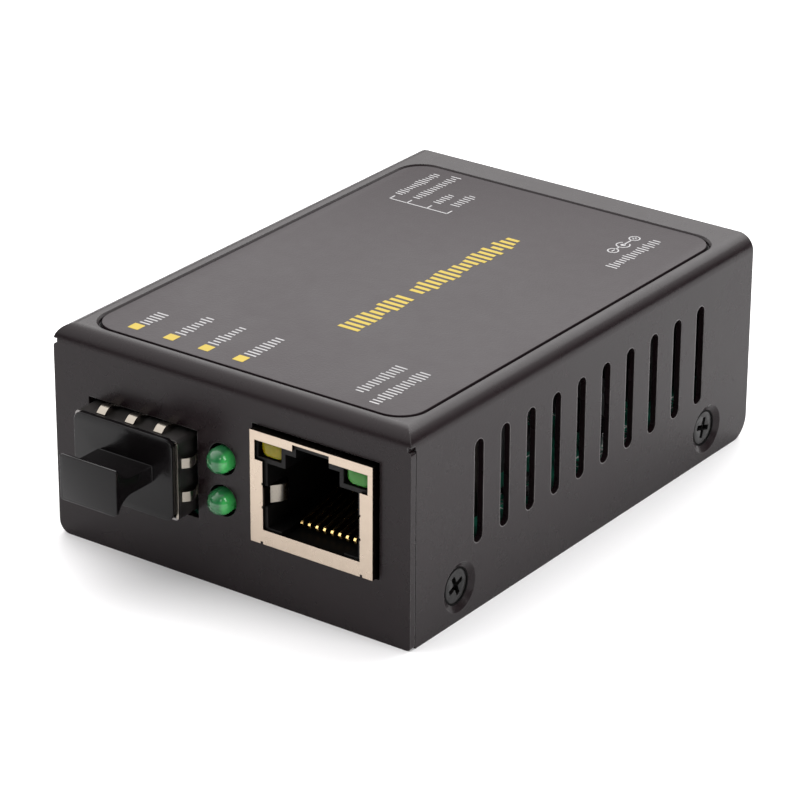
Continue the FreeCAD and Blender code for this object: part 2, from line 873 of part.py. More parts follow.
def make_standoffs():
    """Hexagonal pillars, tapped through."""
    hole = (d.screw_radius + d.thread_clearance) * TWELVE_SIDES
    pillars = []
    for i, (x, y) in enumerate(STANDOFFS):
        outside = post(f"standoff_{i}_outside", "z", x, y, d.sheet,
                       d.standoff_radius, d.standoff_height, sides=6)
        inside = post(f"standoff_{i}_inside", "z", x, y, d.sheet - 1,
                      hole, d.standoff_height + 2)
        pillars.append(cut(f"standoff_{i}", outside, inside))
    part("board_standoffs", group("board_standoffs", *pillars))


def make_board_screws():
    screws = []
    for i, (x, y) in enumerate(STANDOFFS):
        head = post(f"board_screw_{i}_head", "z", x, y, BOARD_TOP,
                    d.board_screw_head, d.board_screw_head_height)
        shank = post(f"board_screw_{i}_shank", "z", x, y,
                     BOARD_TOP - d.board_screw_length, d.screw_radius,
                     d.board_screw_length)
        top = BOARD_TOP + d.board_screw_head_height
        recess = cross(f"board_screw_{i}_cross", "XY", top - d.cross_depth,
                       d.cross_depth + 1, x, y)
        solid = fuse(f"board_screw_{i}_solid", head, shank)
        screws.append(cut(f"board_screw_{i}", solid, recess))
    part("board_screws", group("board_screws", *screws))


make_board()
make_standoffs()
make_board_screws()


# Fibre port ---------------------------------------------------------------------------


def make_cage():
    body = new_body("sfp_cage")
    half, wall = d.cage_width / 2, d.cage_wall
    pad(body, "cage_block", "XZ", CAGE_FRONT, d.cage_length,
        rect(CAGE_X - half, CAGE_LOW, CAGE_X + half, CAGE_HIGH, d.cage_corner))
    pocket(body, "cage_hollow", "XZ", CAGE_FRONT, d.cage_length - wall,
           rect(CAGE_X - half + wall, CAGE_LOW + wall, CAGE_X + half - wall,
                CAGE_HIGH - wall))
    pocket(body, "cage_floor_opening", "XY", CAGE_LOW, wall,
           rect(CAGE_X - half + wall * 2, CAGE_REAR - wall - d.cage_opening_length,
                CAGE_X + half - wall * 2, CAGE_REAR - wall))
    for side in (1, -1):
        x = CAGE_X + (half - wall / 2) * side
        tag = "right" if side > 0 else "left"
        loops = [around(x, y, wall / 2, d.tail_width / 2) for y in CAGE_TAILS]
        pad(body, f"cage_tails_{tag}", "XY", STUB_LOW, CAGE_LOW - STUB_LOW + 1.0, *loops)
    part("sfp_cage", body)


def finger(name, face, position):
    """One bowed spring finger lying on a face of the cage."""
    skin, rise = d.spring_sheet, d.spring_rise
    y0 = CAGE_FRONT + d.spring_tip
    y1 = y0 + d.spring_reach
    bow = [
        (y0 - skin, 0.0), (y0 + skin * 2, 0.0), (y0 + skin * 8, rise - skin),
        (y1 - skin * 10, rise - skin), (y1 - skin * 4, 0.0), (y1, 0.0), (y1, skin),
        (y1 - skin * 4, skin), (y1 - skin * 10, rise), (y0 + skin * 8, rise),
        (y0, skin),
    ]
    half = d.spring_width / 2
    if face in ("top", "bottom"):
        base, sign = (CAGE_HIGH, 1) if face == "top" else (CAGE_LOW, -1)
        loop = [(y, base + h * sign) for y, h in bow]
        return prism(name, "YZ", position - half, d.spring_width, loop)
    base, sign = (CAGE_X + d.cage_width / 2, 1)
    if face == "left":
        base, sign = (CAGE_X - d.cage_width / 2, -1)
    loop = [(base + h * sign, y) for y, h in bow]
    return prism(name, "XY", position - half, d.spring_width, loop)


def make_springs():
    pieces = []
    for face in ("top", "bottom"):
        for i in range(3):
            x = CAGE_X + d.spring_pitch * (i - 1)
            pieces.append(finger(f"finger_{face}_{i}", face, x))
    for face in ("left", "right"):
        for i in range(2):
            z = CAGE_MIDDLE + d.spring_pitch * (i - 0.5)
            pieces.append(finger(f"finger_{face}_{i}", face, z))
    half, skin = d.cage_width / 2, d.spring_sheet
    start = CAGE_FRONT + d.spring_tip + d.spring_reach
    band = prism(
        "spring_band", "XZ", start - d.spring_band / 4, d.spring_band,
        rect(CAGE_X - half - skin, CAGE_LOW - skin, CAGE_X + half + skin,
             CAGE_HIGH + skin, d.cage_corner + skin),
        rect(CAGE_X - half, CAGE_LOW, CAGE_X + half, CAGE_HIGH, d.cage_corner),
    )
    part("cage_springs", fuse("cage_springs", band, *pieces))


def make_host_connector():
    half = d.cage_width / 2 - d.cage_wall * 4
    y1 = CAGE_REAR - d.cage_wall * 3
    y0 = y1 - d.cage_opening_length + 1.4
    solid = block("connector_block", CAGE_X - half, y0, BOARD_TOP,
                  CAGE_X + half, y1, CAGE_MIDDLE + 0.9)
    card = block("connector_card_slot", CAGE_X - half + 0.9, y0 - 1, CAGE_MIDDLE - 1.5,
                 CAGE_X + half - 0.9, y1 - 2.6, CAGE_MIDDLE - 0.2)
    part("host_connector", cut("host_connector", solid, card))


def make_plug():
    half_x, half_z = d.plug_flange_width / 2, d.plug_flange_height / 2
    middle = CAGE_MIDDLE + 0.1
    face = CAGE_FRONT - d.plug_flange
    flange = prism("plug_flange", "XZ", face, d.plug_flange,
                   rect(CAGE_X - half_x, middle - half_z, CAGE_X + half_x,
                        middle + half_z, d.plug_flange_corner))
    gap = d.cage_wall + d.plug_fit
    inner_x, inner_z = d.cage_width / 2 - gap, d.cage_height / 2 - gap
    stem = prism("plug_stem", "XZ", CAGE_FRONT, d.plug_body_length,
                 rect(CAGE_X - inner_x, CAGE_MIDDLE - inner_z, CAGE_X + inner_x,
                      CAGE_MIDDLE + inner_z, d.cage_corner))
    wall = d.plug_wall
    hollow = prism("plug_hollow", "XZ", CAGE_FRONT + wall, d.plug_body_length,
                   rect(CAGE_X - inner_x + wall, CAGE_MIDDLE - inner_z + wall,
                        CAGE_X + inner_x - wall, CAGE_MIDDLE + inner_z - wall))
    grip_z = CAGE_MIDDLE + 0.3
    half_root, half_tip = d.grip_root / 2, d.grip_tip / 2
    x0, x1 = CAGE_X - d.grip_width / 2 + 0.3, CAGE_X + d.grip_width / 2 + 0.3
    grip = block("plug_grip", x0, face - d.grip_length, grip_z - half_tip,
                 x1, face, grip_z + half_tip)
    bend = face - d.grip_flat
    cuts = []
    for side in (1, -1):
        tag = "upper" if side > 0 else "lower"
        near, far = sorted(
            (grip_z + half_root * side, grip_z + (half_tip + 1) * side), key=value_of
        )
        cuts.append(block(f"grip_neck_{tag}", x0 - 1, bend, near, x1 + 1, face, far))
        cuts.append(rod(f"grip_scoop_{tag}", "x", x0 - 1, bend,
                        grip_z + (half_root + d.grip_curve) * side,
                        d.grip_curve, d.grip_width + 2))
    shaped = cut("plug_grip_shaped", grip, *cuts)
    solid = fuse("plug_solid", flange, stem, shaped)
    part("dust_plug", cut("dust_plug", solid, hollow))


make_cage()
make_springs()
make_host_connector()
make_plug()


# Network jack -------------------------------------------------------------------------

SHIELD_INNER = d.jack_width / 2 - d.jack_sheet
HOUSING_HALF = SHIELD_INNER - d.jack_fit
HOUSING_FRONT = JACK_FRONT + d.jack_sheet
HOUSING_REAR = JACK_REAR - d.jack_sheet - d.jack_fit
HOUSING_HIGH = JACK_HIGH - d.jack_sheet - d.jack_fit
TAB_LOW = BOARD_TOP + d.jack_tab_low


def keyed(x, steps):
    """An outline symmetrical about x, from its half widths and the levels they reach."""
    right = [(x + half, z) for half, low, high in steps for z in (low, high)]
    left = [(x - half, z) for half, low, high in reversed(steps) for z in (high, low)]
    return right + left


def make_shield():
    body = new_body("jack_shield")
    half = d.jack_width / 2
    pad(body, "shield_block", "XZ", JACK_FRONT, d.jack_depth,
        rect(JACK_X - half, BOARD_TOP, JACK_X + half, JACK_HIGH))
    pocket(body, "shield_hollow", "XY", BOARD_TOP, d.jack_height - d.jack_sheet,
           rect(JACK_X - SHIELD_INNER, HOUSING_FRONT, JACK_X + SHIELD_INNER,
                JACK_REAR - d.jack_sheet))
    low, high = BOARD_TOP + d.jack_mouth_low, BOARD_TOP + d.jack_mouth_high
    windows = BOARD_TOP + d.jack_window_high
    mouth = keyed(JACK_X, [
        (d.jack_mouth_width / 2, low, high),
        (d.jack_window_width / 2, high, windows),
        (d.jack_key_width / 2, windows, JACK_HIGH - d.jack_sheet),
    ])
    pocket(body, "shield_mouth", "XZ", JACK_FRONT, d.jack_sheet, mouth)
    notches = [around(JACK_X + 6.5 * side, BOARD_TOP, 0.2, 1.1) for side in (1, -1)]
    pocket(body, "shield_foot_notches", "XZ", JACK_FRONT, d.jack_sheet, *notches)
    for side in (1, -1):
        tag = "right" if side > 0 else "left"
        x = JACK_X + (half - d.jack_sheet / 2) * side
        pad(body, f"shield_tail_{tag}", "XY", STUB_LOW, BOARD_TOP - STUB_LOW + 1.0,
            around(x, SHIELD_TAIL, d.jack_sheet / 2, d.tail_width))
        edge = JACK_X + (d.jack_mouth_width / 2) * side
        lean, skin = d.jack_tab_lean * side, d.jack_sheet * side
        y1 = JACK_FRONT + d.jack_tab_length
        tab = [
            (edge - skin / 2, JACK_FRONT), (edge + skin, JACK_FRONT),
            (edge + skin / 2 - lean, y1), (edge - skin / 2 - lean, y1),
        ]
        pad(body, f"shield_tab_{tag}", "XY", TAB_LOW, d.jack_tab_height, tab)
    part("jack_shield", body)


def make_housing():
    body = new_body("jack_housing")
    x = JACK_X
    pad(body, "housing_block", "XZ", HOUSING_FRONT, HOUSING_REAR - HOUSING_FRONT,
        rect(x - HOUSING_HALF, BOARD_TOP, x + HOUSING_HALF, HOUSING_HIGH))
    low, high = BOARD_TOP + d.plug_cavity_floor, BOARD_TOP + d.jack_mouth_high - 0.2
    first = BOARD_TOP + d.first_key_high
    cavity = keyed(x, [
        (d.plug_cavity_width / 2, low, high),
        (d.first_key_width / 2, high, first),
        (d.second_key_width / 2, first, BOARD_TOP + d.second_key_high),
    ])
    pocket(body, "plug_cavity", "XZ", HOUSING_FRONT, d.plug_cavity_depth, cavity)
    channel = rect(x - d.channel_width / 2, BOARD_TOP + d.channel_floor,
                   x + d.channel_width / 2, low + 0.2)
    deep = CONTACT_ROWS[1] + 0.6
    pocket(body, "contact_channel", "XZ", HOUSING_FRONT, deep - HOUSING_FRONT, channel)
    pocket(body, "contact_well", "XY", BOARD_TOP, d.channel_floor,
           rect(x - d.channel_width / 2, CONTACT_ROWS[0] - 0.6, x + d.channel_width / 2,
                deep))
    lamp = d.jack_lamp_width / 2 + d.jack_fit
    lamp_low = BOARD_TOP + d.jack_lamp_low
    beds = [
        rect(x + d.jack_lamp_offset * side - lamp, lamp_low - d.jack_fit,
             x + d.jack_lamp_offset * side + lamp,
             lamp_low + d.jack_lamp_height + d.jack_fit)
        for side in (1, -1)
    ]
    pocket(body, "lamp_beds", "XZ", HOUSING_FRONT, d.jack_lamp_length, *beds)
    spare = 0.15
    tab_beds = []
    for side in (1, -1):
        inner, outer = sorted(
            (x + (d.plug_cavity_width / 2 - spare) * side,
             x + (d.jack_mouth_width / 2 + d.jack_sheet + spare) * side), key=value_of
        )
        tab_beds.append(rect(inner, TAB_LOW - spare, outer,
                             TAB_LOW + d.jack_tab_height + spare))
    pocket(body, "tab_beds", "XZ", HOUSING_FRONT, d.jack_tab_length + spare, *tab_beds)
    part("jack_housing", body)


def make_contacts():
    """Eight bent wires: a lead up through the board, a run forwards and a springy arm."""
    wire = d.contact_width * 0.6
    floor = BOARD_TOP + d.channel_floor
    tip = JACK_FRONT + 3.0
    arm_end = JACK_FRONT + 10.0
    pieces = []
    for i in range(JACK_CONTACTS):
        x, row = contact_x(i), CONTACT_ROWS[i % 2]
        half = d.contact_width / 2
        bend = [
            (row + half, STUB_LOW), (row + half, floor + wire), (tip + 0.9, floor + wire),
            (tip + 0.5, floor + wire * 2), (arm_end, floor + 2.6),
            (arm_end, floor + 2.6 + wire), (tip + 0.2, floor + wire * 3.4),
            (tip, floor + wire * 2), (tip + 0.5, floor), (row - half, floor),
            (row - half, STUB_LOW),
        ]
        pieces.append(prism(f"contact_{i}", "YZ", x - half, d.contact_width, bend))
    part("jack_contacts", group("jack_contacts", *pieces))


def make_jack_lamps():
    for side, label in ((-1, "jack_lamp_left"), (1, "jack_lamp_right")):
        x, half = JACK_X + d.jack_lamp_offset * side, d.jack_lamp_width / 2
        low = BOARD_TOP + d.jack_lamp_low
        part(label, block(label, x - half, HOUSING_FRONT - 0.15, low, x + half,
                          HOUSING_FRONT - 0.15 + d.jack_lamp_length,
                          low + d.jack_lamp_height))


make_shield()
make_housing()
make_contacts()
make_jack_lamps()


# Status lamps -------------------------------------------------------------------------


def make_lamps():
    for i, label in enumerate(("lower_lamp", "upper_lamp")):
        z, row = LAMP_LEVELS[i], LEAD_ROWS[i]
        dome = ball(f"{label}_dome", LAMP_X, LAMP_TIP_CENTRE, z, d.lamp_radius)
        stem = rod(f"{label}_stem", "y", LAMP_X, LAMP_TIP_CENTRE, z, d.lamp_radius,
                   d.lamp_body + d.lamp_rim_length)
        rim = post(f"{label}_rim", "y", LAMP_X, LAMP_REAR - d.lamp_rim_length, z,
                   d.lamp_rim, d.lamp_rim_length, sides=24)
        part(label, fuse(label, dome, stem, rim))
        half = d.lamp_lead / 2
        leads = []
        for side in (1, -1):
            x = LAMP_X + d.lamp_lead_spread * side
            tag = "right" if side > 0 else "left"
            bend = [
                (LAMP_REAR, z - half), (row - half, z - half), (row - half, STUB_LOW),
                (row + half, STUB_LOW), (row + half, z + half), (LAMP_REAR, z + half),
            ]
            leads.append(prism(f"{label}_lead_{tag}", "YZ", x - half, d.lamp_lead, bend))
        part(f"{label}_leads", group(f"{label}_leads", *leads))


def make_holder():
    half = d.holder_width / 2
    high = LAMP_LEVELS[1] + d.lamp_rim + d.holder_top
    solid = block("holder_block", LAMP_X - half, LAMP_REAR, BOARD_TOP,
                  LAMP_X + half, HOLDER_REAR, high)
    cuts = []
    wide = d.lamp_lead / 2 + d.lead_clearance
    for side in (1, -1):
        x = LAMP_X + d.lamp_lead_spread * side
        tag = "right" if side > 0 else "left"
        for level, row in zip(LAMP_LEVELS, LEAD_ROWS):
            name = f"holder_{tag}_{'upper' if level is LAMP_LEVELS[1] else 'lower'}"
            cuts.append(block(name + "_slot", x - wide, row - wide, BOARD_TOP - 1,
                              x + wide, HOLDER_REAR + 1, level + wide))
            cuts.append(block(name + "_bore", x - wide, LAMP_REAR - 1, level - wide,
                              x + wide, row + wide, level + wide))
    part("lamp_holder", cut("lamp_holder", solid, *cuts))


make_lamps()
make_holder()


# Power inlet and switches -------------------------------------------------------------


def make_inlet():
    half = d.inlet_width / 2
    flange = block("inlet_flange_block", INLET_X - half, INLET_FACE - d.inlet_flange,
                   BOARD_TOP, INLET_X + half, INLET_FACE, BOARD_TOP + d.inlet_height)
    half_body = d.inlet_body_width / 2
    crown = BOARD_TOP + d.inlet_axis + half_body
    arch = [
        (INLET_X - half_body, BOARD_TOP), (INLET_X + half_body, BOARD_TOP),
        (INLET_X + half_body, crown, half_body - 0.1),
        (INLET_X - half_body, crown, half_body - 0.1),
    ]
    barrel = prism("inlet_barrel", "XZ", INLET_BACK, d.inlet_depth - 1.0, arch)
    axis = BOARD_TOP + d.inlet_axis
    bore = rod("inlet_bore_cut", "y", INLET_X, INLET_FACE - d.inlet_bore_depth, axis,
               d.inlet_bore, d.inlet_bore_depth + 1)
    solid = fuse("inlet_solid", flange, barrel)
    part("power_jack_body", cut("power_jack_body", solid, bore))

    start = INLET_FACE - d.inlet_bore_depth
    shaft = rod("pin_shaft", "y", INLET_X, start, axis, d.inlet_pin,
                d.inlet_pin_length - d.inlet_pin)
    tip = cone("pin_tip", "y", INLET_X, start + d.inlet_pin_length - d.inlet_pin, axis,
               d.inlet_pin, d.inlet_pin / 2, d.inlet_pin)
    part("power_jack_pin", fuse("power_jack_pin", shaft, tip))
    tabs = [
        prism(f"inlet_tab_{i}", "XY", STUB_LOW, BOARD_TOP - STUB_LOW,
              around(x, y, half_x, half_y))
        for i, (x, y, half_x, half_y) in enumerate(TERMINALS)
    ]
    part("power_jack_terminals", group("power_jack_terminals", *tabs))


def make_switches():
    body = new_body("switch_body")
    half, high = d.switch_width / 2, BOARD_TOP + d.switch_height
    pad(body, "switch_block", "XZ", SWITCH_FACE - d.switch_depth, d.switch_depth,
        rect(SWITCH_X - half, BOARD_TOP, SWITCH_X + half, high))
    spare = d.slider_clearance
    low = BOARD_TOP + d.slider_low
    slot_low, slot_high = low - spare, low + d.slider_height + d.slider_travel + spare
    mouth, inside = d.slider_width / 2 + spare, d.slider_foot_width / 2 + spare
    back = SWITCH_FACE - d.slider_lip
    room = d.slider_foot + spare * 2
    mouths = [rect(switch_x(i) - mouth, slot_low, switch_x(i) + mouth, slot_high)
              for i in range(SWITCHES)]
    pocket(body, "slider_mouths", "XZ", back, d.slider_lip, *mouths)
    rooms = [rect(switch_x(i) - inside, slot_low, switch_x(i) + inside, slot_high)
             for i in range(SWITCHES)]
    pocket(body, "slider_rooms", "XZ", back - room, room, *rooms)
    part("switch_body", body)

    for i in range(SWITCHES):
        x, half = switch_x(i), d.slider_width / 2
        foot = d.slider_foot_width / 2
        outer = SWITCH_FACE + d.slider_proud
        heel = back - spare - d.slider_foot
        profile = [
            (x - foot, heel), (x + foot, heel), (x + foot, heel + d.slider_foot),
            (x + half, heel + d.slider_foot), (x + half, outer), (x - half, outer),
            (x - half, heel + d.slider_foot), (x - foot, heel + d.slider_foot),
        ]
        label = f"switch_slider_{i + 1}"
        part(label, prism(label, "XY", low, d.slider_height, profile))

    pins = []
    half = d.contact_width / 2
    for i in range(SWITCHES):
        for j, y in enumerate(SWITCH_PINS):
            pins.append(prism(f"switch_pin_{i}_{j}", "XY", STUB_LOW,
                              BOARD_TOP - STUB_LOW, around(switch_x(i), y, half, half)))
    part("switch_pins", group("switch_pins", *pins))


make_inlet()
make_switches()


# Parts soldered on the board ----------------------------------------------------------

# Each is a plain body: label, centre x, centre y, width, length, height.
BOARD_PARTS = (
    ("converter_chip", SIDE - 18.8, 6.4, 10.0, 10.0, 1.4),
    ("memory_chip", -1.6, 17.2, 5.0, 4.0, 1.6),
    ("line_transformer", JACK_X - 2.3, -6.6, 12.7, 7.0, 5.6),
    ("power_inductor", SIDE - 10.4, 14.5, 6.0, 6.0, 3.0),
    ("voltage_regulator", SIDE - 10.7, 0.9, 3.5, 6.5, 1.7),
    ("power_diode", -8.4, 20.4, 4.6, 2.6, 2.3),
)
CAPACITORS = ((INLET_X - 8.6, 22.6), (5.4, 17.2))
BOARD_EDGE_PARTS = ((3.6, -8.4), (3.6, -6.6), (3.6, -4.8), (1.5, -7.4))
# Small parts near the chip: how far in from the right side, and y.
CHIP_SIDE_PARTS = (
    (22.0, -1.2), (19.0, -1.2), (16.0, -1.2), (25.6, 4.0), (25.6, 6.4), (25.6, 8.8),
)
CHIP_PARTS = (
    tuple((BOARD_HALF - inset, y) for inset, y in BOARD_EDGE_PARTS)
    + tuple((SIDE - inset, y) for inset, y in CHIP_SIDE_PARTS)
    + ((-6.0, 12.2), (10.6 - SIDE, 22.4))
)


def make_board_parts():
    for label, x, y, width, length, height in BOARD_PARTS:
        part(label, block(label, x - width / 2, y - length / 2, BOARD_TOP,
                          x + width / 2, y + length / 2, BOARD_TOP + height))
    part("clock_crystal", prism("clock_crystal", "XY", BOARD_TOP, 3.5,
                                around(14.1 - SIDE, 15.4, 5.4, 2.2, radius=2.0)))
    cans = [post(f"capacitor_{i}", "z", x, y, BOARD_TOP, 2.5, 7.7, sides=24)
            for i, (x, y) in enumerate(CAPACITORS)]
    part("filter_capacitors", group("filter_capacitors", *cans))
    chips = [block(f"chip_{i}", x - 0.4, y - 0.8, BOARD_TOP, x + 0.4, y + 0.8,
                   BOARD_TOP + 0.6)
             for i, (x, y) in enumerate(CHIP_PARTS)]
    part("chip_parts", group("chip_parts", *chips))


make_board_parts()


# Build, check and write ---------------------------------------------------------------

doc.recompute()

problems = []
for thing in doc.Objects:
    if {"Invalid", "Error"} & set(thing.State):
        problems.append(f"{thing.Name}: {thing.State}")
for shape in PARTS:
    if shape.Shape.isNull() or not shape.Shape.isValid() or not shape.Shape.Solids:
        problems.append(f"{shape.Label}: no valid solid")
for body, feature in POCKETS:
    if feature.BaseFeature.Shape.Volume - feature.Shape.Volume < 1e-3:
        problems.append(f"{feature.Name}: cuts nothing from {body.Name}")
if problems:
    raise RuntimeError("; ".join(problems))

os.makedirs("parts", exist_ok=True)
for shape in PARTS:
    shape.Shape.exportStep(os.path.join("parts", shape.Label + ".step"))
print(len(PARTS), "parts written")
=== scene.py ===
"""Dresses the packed fibre media converter for a studio picture.

This script gives every carried-over node a procedural finish, replaces the nodes that
need softer or see-through forms, adds thin parts, prints plain marks on the label,
and sets the floor, the lights and the camera. Lengths are in millimetres where a
docstring doesn't say metres. Meshes are in metres.
"""

from __future__ import annotations

import json
import logging
import math
from dataclasses import dataclass, field, replace
from enum import Enum
from typing import Any, Iterable, Sequence

import bmesh
import bpy
from mathutils import Matrix, Vector

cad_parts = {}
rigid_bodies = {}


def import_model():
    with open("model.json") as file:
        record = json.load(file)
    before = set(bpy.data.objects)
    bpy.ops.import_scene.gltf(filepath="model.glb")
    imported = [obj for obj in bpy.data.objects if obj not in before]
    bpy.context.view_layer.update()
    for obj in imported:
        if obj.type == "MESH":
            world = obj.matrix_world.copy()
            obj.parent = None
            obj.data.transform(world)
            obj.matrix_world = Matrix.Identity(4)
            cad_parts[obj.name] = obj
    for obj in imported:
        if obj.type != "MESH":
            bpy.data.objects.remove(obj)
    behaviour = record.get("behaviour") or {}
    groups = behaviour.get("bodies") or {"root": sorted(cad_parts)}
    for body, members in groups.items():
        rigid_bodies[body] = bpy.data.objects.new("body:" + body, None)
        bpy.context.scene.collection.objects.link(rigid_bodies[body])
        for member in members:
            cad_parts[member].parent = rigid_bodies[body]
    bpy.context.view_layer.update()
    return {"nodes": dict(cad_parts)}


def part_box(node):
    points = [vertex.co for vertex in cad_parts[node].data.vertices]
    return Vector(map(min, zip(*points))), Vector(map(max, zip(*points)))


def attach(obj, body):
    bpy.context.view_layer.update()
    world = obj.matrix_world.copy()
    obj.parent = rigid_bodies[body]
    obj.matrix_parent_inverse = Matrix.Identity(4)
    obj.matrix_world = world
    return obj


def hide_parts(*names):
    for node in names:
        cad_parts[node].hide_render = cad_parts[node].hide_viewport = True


log = logging.getLogger("scene")
Colour = tuple[float, float, float]
Point = tuple[float, float, float]
Flat = tuple[float, float]
Inputs = dict[str | int, Any]
Mesh = bpy.types.Mesh
Socket = bpy.types.NodeSocket

MM = 0.001
WANDER_SIZE = 14.0  # size of the slow unevenness
WANDER_SPAN = (0.3, 0.7)  # values between which it mostly moves
SPOT_SHARE = 0.35  # share of finer spots in it
SPOT_FINER = 7.3  # how much finer they are
LEAST_ROUGH = 0.02
COAT_ROUGHNESS = 0.1
RESIN_IOR = 1.5
SCATTER_DEPTH = 1.5
BEVEL_SAMPLES = 6
EDGE_HIGHLIGHT_TURN = (0.985, 0.8)  # cosines between which an edge goes from no painted highlight to full


class Grain(Enum):
    """The fine relief that a finish has."""

    NONE = "none"
    POWDER = "powder"
    MOULDED = "moulded"
    BRUSHED = "brushed"
    PLATED = "plated"
    MASK = "mask"


@dataclass(frozen=True)
class Finish:
    """One surface finish, as the values that its material is built from.

    Attributes:
        name: Name of the material.
        colour: Linear base colour.
        metallic: 0 for paint and plastic, 1 for bare metal.
        roughness: Middle of the roughness range.
        specular: Specular level, 0.5 being a plain dielectric.
        grain: Kind of fine relief.
        grain_size: Size of one grain.
        relief: Height of the grain.
        mottle: Share by which the colour wanders over the surface.
        smudge: Amount by which the roughness wanders.
        edge: Radius that edges are rounded to in shading.
        coat: Weight of a clear coat.
        clear: Share of light let through.
        scatter: Weight of light scattered under the surface.
        edge_highlight: Brightness that the painted highlight adds along edges.
        far: Brighter colour that takes over towards +X, painted light on that side.
        lit_side_range: X where the painted light starts and where it has taken over.
    """

    name: str
    colour: Colour
    metallic: float = 0.0
    roughness: float = 0.5
    specular: float = 0.5
    grain: Grain = Grain.MOULDED
    grain_size: float = 0.2
    relief: float = 0.004
    mottle: float = 0.06
    smudge: float = 0.05
    edge: float = 0.0
    coat: float = 0.0
    clear: float = 0.0
    scatter: float = 0.0
    edge_highlight: float = 0.0
    far: Colour | None = None
    lit_side_range: Flat = (0.0, 1.0)


# The case paint and the screw oxide get a painted highlight along their edges.
POWDER = Finish("powder_black", (0.0098, 0.0058, 0.0068), roughness=0.27, specular=0.2,
                grain=Grain.POWDER, grain_size=0.34, relief=0.008, mottle=0.10,
                smudge=0.06, edge=0.14, edge_highlight=0.09)
# Lighter ring colour round the vents: a painted rim highlight.
RIM_HIGHLIGHT = Finish("painted_rim_highlight", (0.11, 0.10, 0.10), metallic=0.3, roughness=0.35,
                grain=Grain.POWDER, grain_size=0.5, relief=0.006, mottle=0.5,
                smudge=0.1)
OXIDE = Finish("oxide_black", (0.007, 0.0065, 0.0065), metallic=0.15, roughness=0.3,
               specular=0.3, grain=Grain.PLATED, grain_size=0.3, smudge=0.1,
               edge=0.06, edge_highlight=0.12)
FILM = Finish("label_film", (0.0170, 0.0110, 0.0130), roughness=0.38, specular=0.18,
              grain=Grain.POWDER, grain_size=0.26, relief=0.024, smudge=0.04,
              edge=0.04)
TIN = Finish("bright_tin", (0.46, 0.38, 0.305), metallic=1.0, roughness=0.24,
             grain=Grain.BRUSHED, grain_size=0.09, relief=0.003, mottle=0.08,
             smudge=0.10, edge=0.05)
# Darker copy of the tin for the shield's walls inside the case: painted shade. The
# jack's front plate keeps the bright tin.
SHADED_SHIELD = replace(TIN, name="shield_nickel_painted_shade", colour=(0.022, 0.018, 0.015),
                 roughness=0.3, mottle=0.15)
NICKEL = Finish("dull_nickel", (0.20, 0.19, 0.185), metallic=1.0, roughness=0.34,
                grain=Grain.PLATED, grain_size=0.5, mottle=0.2, smudge=0.12,
                edge=0.05)
SPRING = Finish("spring_nickel", (0.27, 0.245, 0.21), metallic=1.0, roughness=0.22,
                grain=Grain.PLATED, grain_size=0.3, relief=0.003, smudge=0.08,
                edge=0.03)
GOLD = Finish("contact_gold", (0.90, 0.62, 0.24), metallic=1.0, roughness=0.2,
              grain=Grain.PLATED, relief=0.002, smudge=0.06)
PLUG = Finish("plug_plastic", (0.0030, 0.0024, 0.0027), roughness=0.2, specular=0.2,
              grain_size=0.35, relief=0.006, mottle=0.05, smudge=0.08)
INSULATOR = Finish("insulator", (0.0022, 0.0019, 0.0019), specular=0.2,
                   grain_size=0.25, relief=0.005, smudge=0.06, edge=0.05)
MOULDED = Finish("moulded_black", (0.005, 0.005, 0.005), roughness=0.45,
                 grain_size=0.3, relief=0.006, edge=0.08)
SLIDER = Finish("slider_white", (0.58, 0.57, 0.545), roughness=0.38, grain_size=0.25,
                edge=0.06)
BOARD = Finish("solder_mask", (0.013, 0.145, 0.090), roughness=0.3, coat=0.5,
               grain=Grain.MASK, grain_size=1.1, relief=0.012, mottle=0.25)
PACKAGE = Finish("chip_package", (0.017, 0.017, 0.018), roughness=0.55,
                 grain_size=0.15, relief=0.006, edge=0.06)
FERRITE = Finish("ferrite", (0.05, 0.05, 0.052), grain_size=0.3, relief=0.01,
                 edge=0.08)
SOLDERED = Finish("soldered_tin", (0.62, 0.62, 0.62), metallic=1.0, roughness=0.3,
                  grain=Grain.PLATED, grain_size=0.4, relief=0.006, smudge=0.12)
SHADE = Finish("deep_shade", (0.0015, 0.0013, 0.0013), roughness=0.8, specular=0.1,
               grain_size=0.4)
# The lamps blend to a brighter green towards +X: painted light shining through their
# right side.
LAMP_GREEN = Finish("lamp_green", (0.028, 0.19, 0.065), roughness=0.1, clear=0.3,
                    specular=0.35, grain=Grain.NONE, coat=0.4,
                    far=(0.07, 0.55, 0.13), lit_side_range=(-0.15, 0.45))
LAMP_CORE = Finish("lamp_core", (0.05, 0.3, 0.1), roughness=0.3, metallic=0.4,
                   grain=Grain.PLATED, grain_size=0.3)
LENS_AMBER = Finish("lens_amber", (0.29, 0.24, 0.006), roughness=0.2, clear=0.35,
                    specular=0.1, grain_size=0.6, relief=0.01, scatter=0.2)
LENS_GREEN = replace(LENS_AMBER, name="lens_green", colour=(0.065, 0.28, 0.045))
PRINT_WHITE = Finish("print_white", (0.36, 0.355, 0.36), roughness=0.6, specular=0.2,
                     relief=0.001, mottle=0.12)
PRINT_YELLOW = replace(PRINT_WHITE, name="print_yellow", colour=(0.42, 0.315, 0.050),
                       mottle=0.08)
LEAD = Finish("tinned_lead", (0.55, 0.54, 0.52), metallic=1.0, roughness=0.3,
              grain=Grain.PLATED, grain_size=0.3, smudge=0.1, edge=0.03)
SILK = Finish("silkscreen", (0.7, 0.7, 0.68), roughness=0.6, grain_size=0.3,
              relief=0.002)

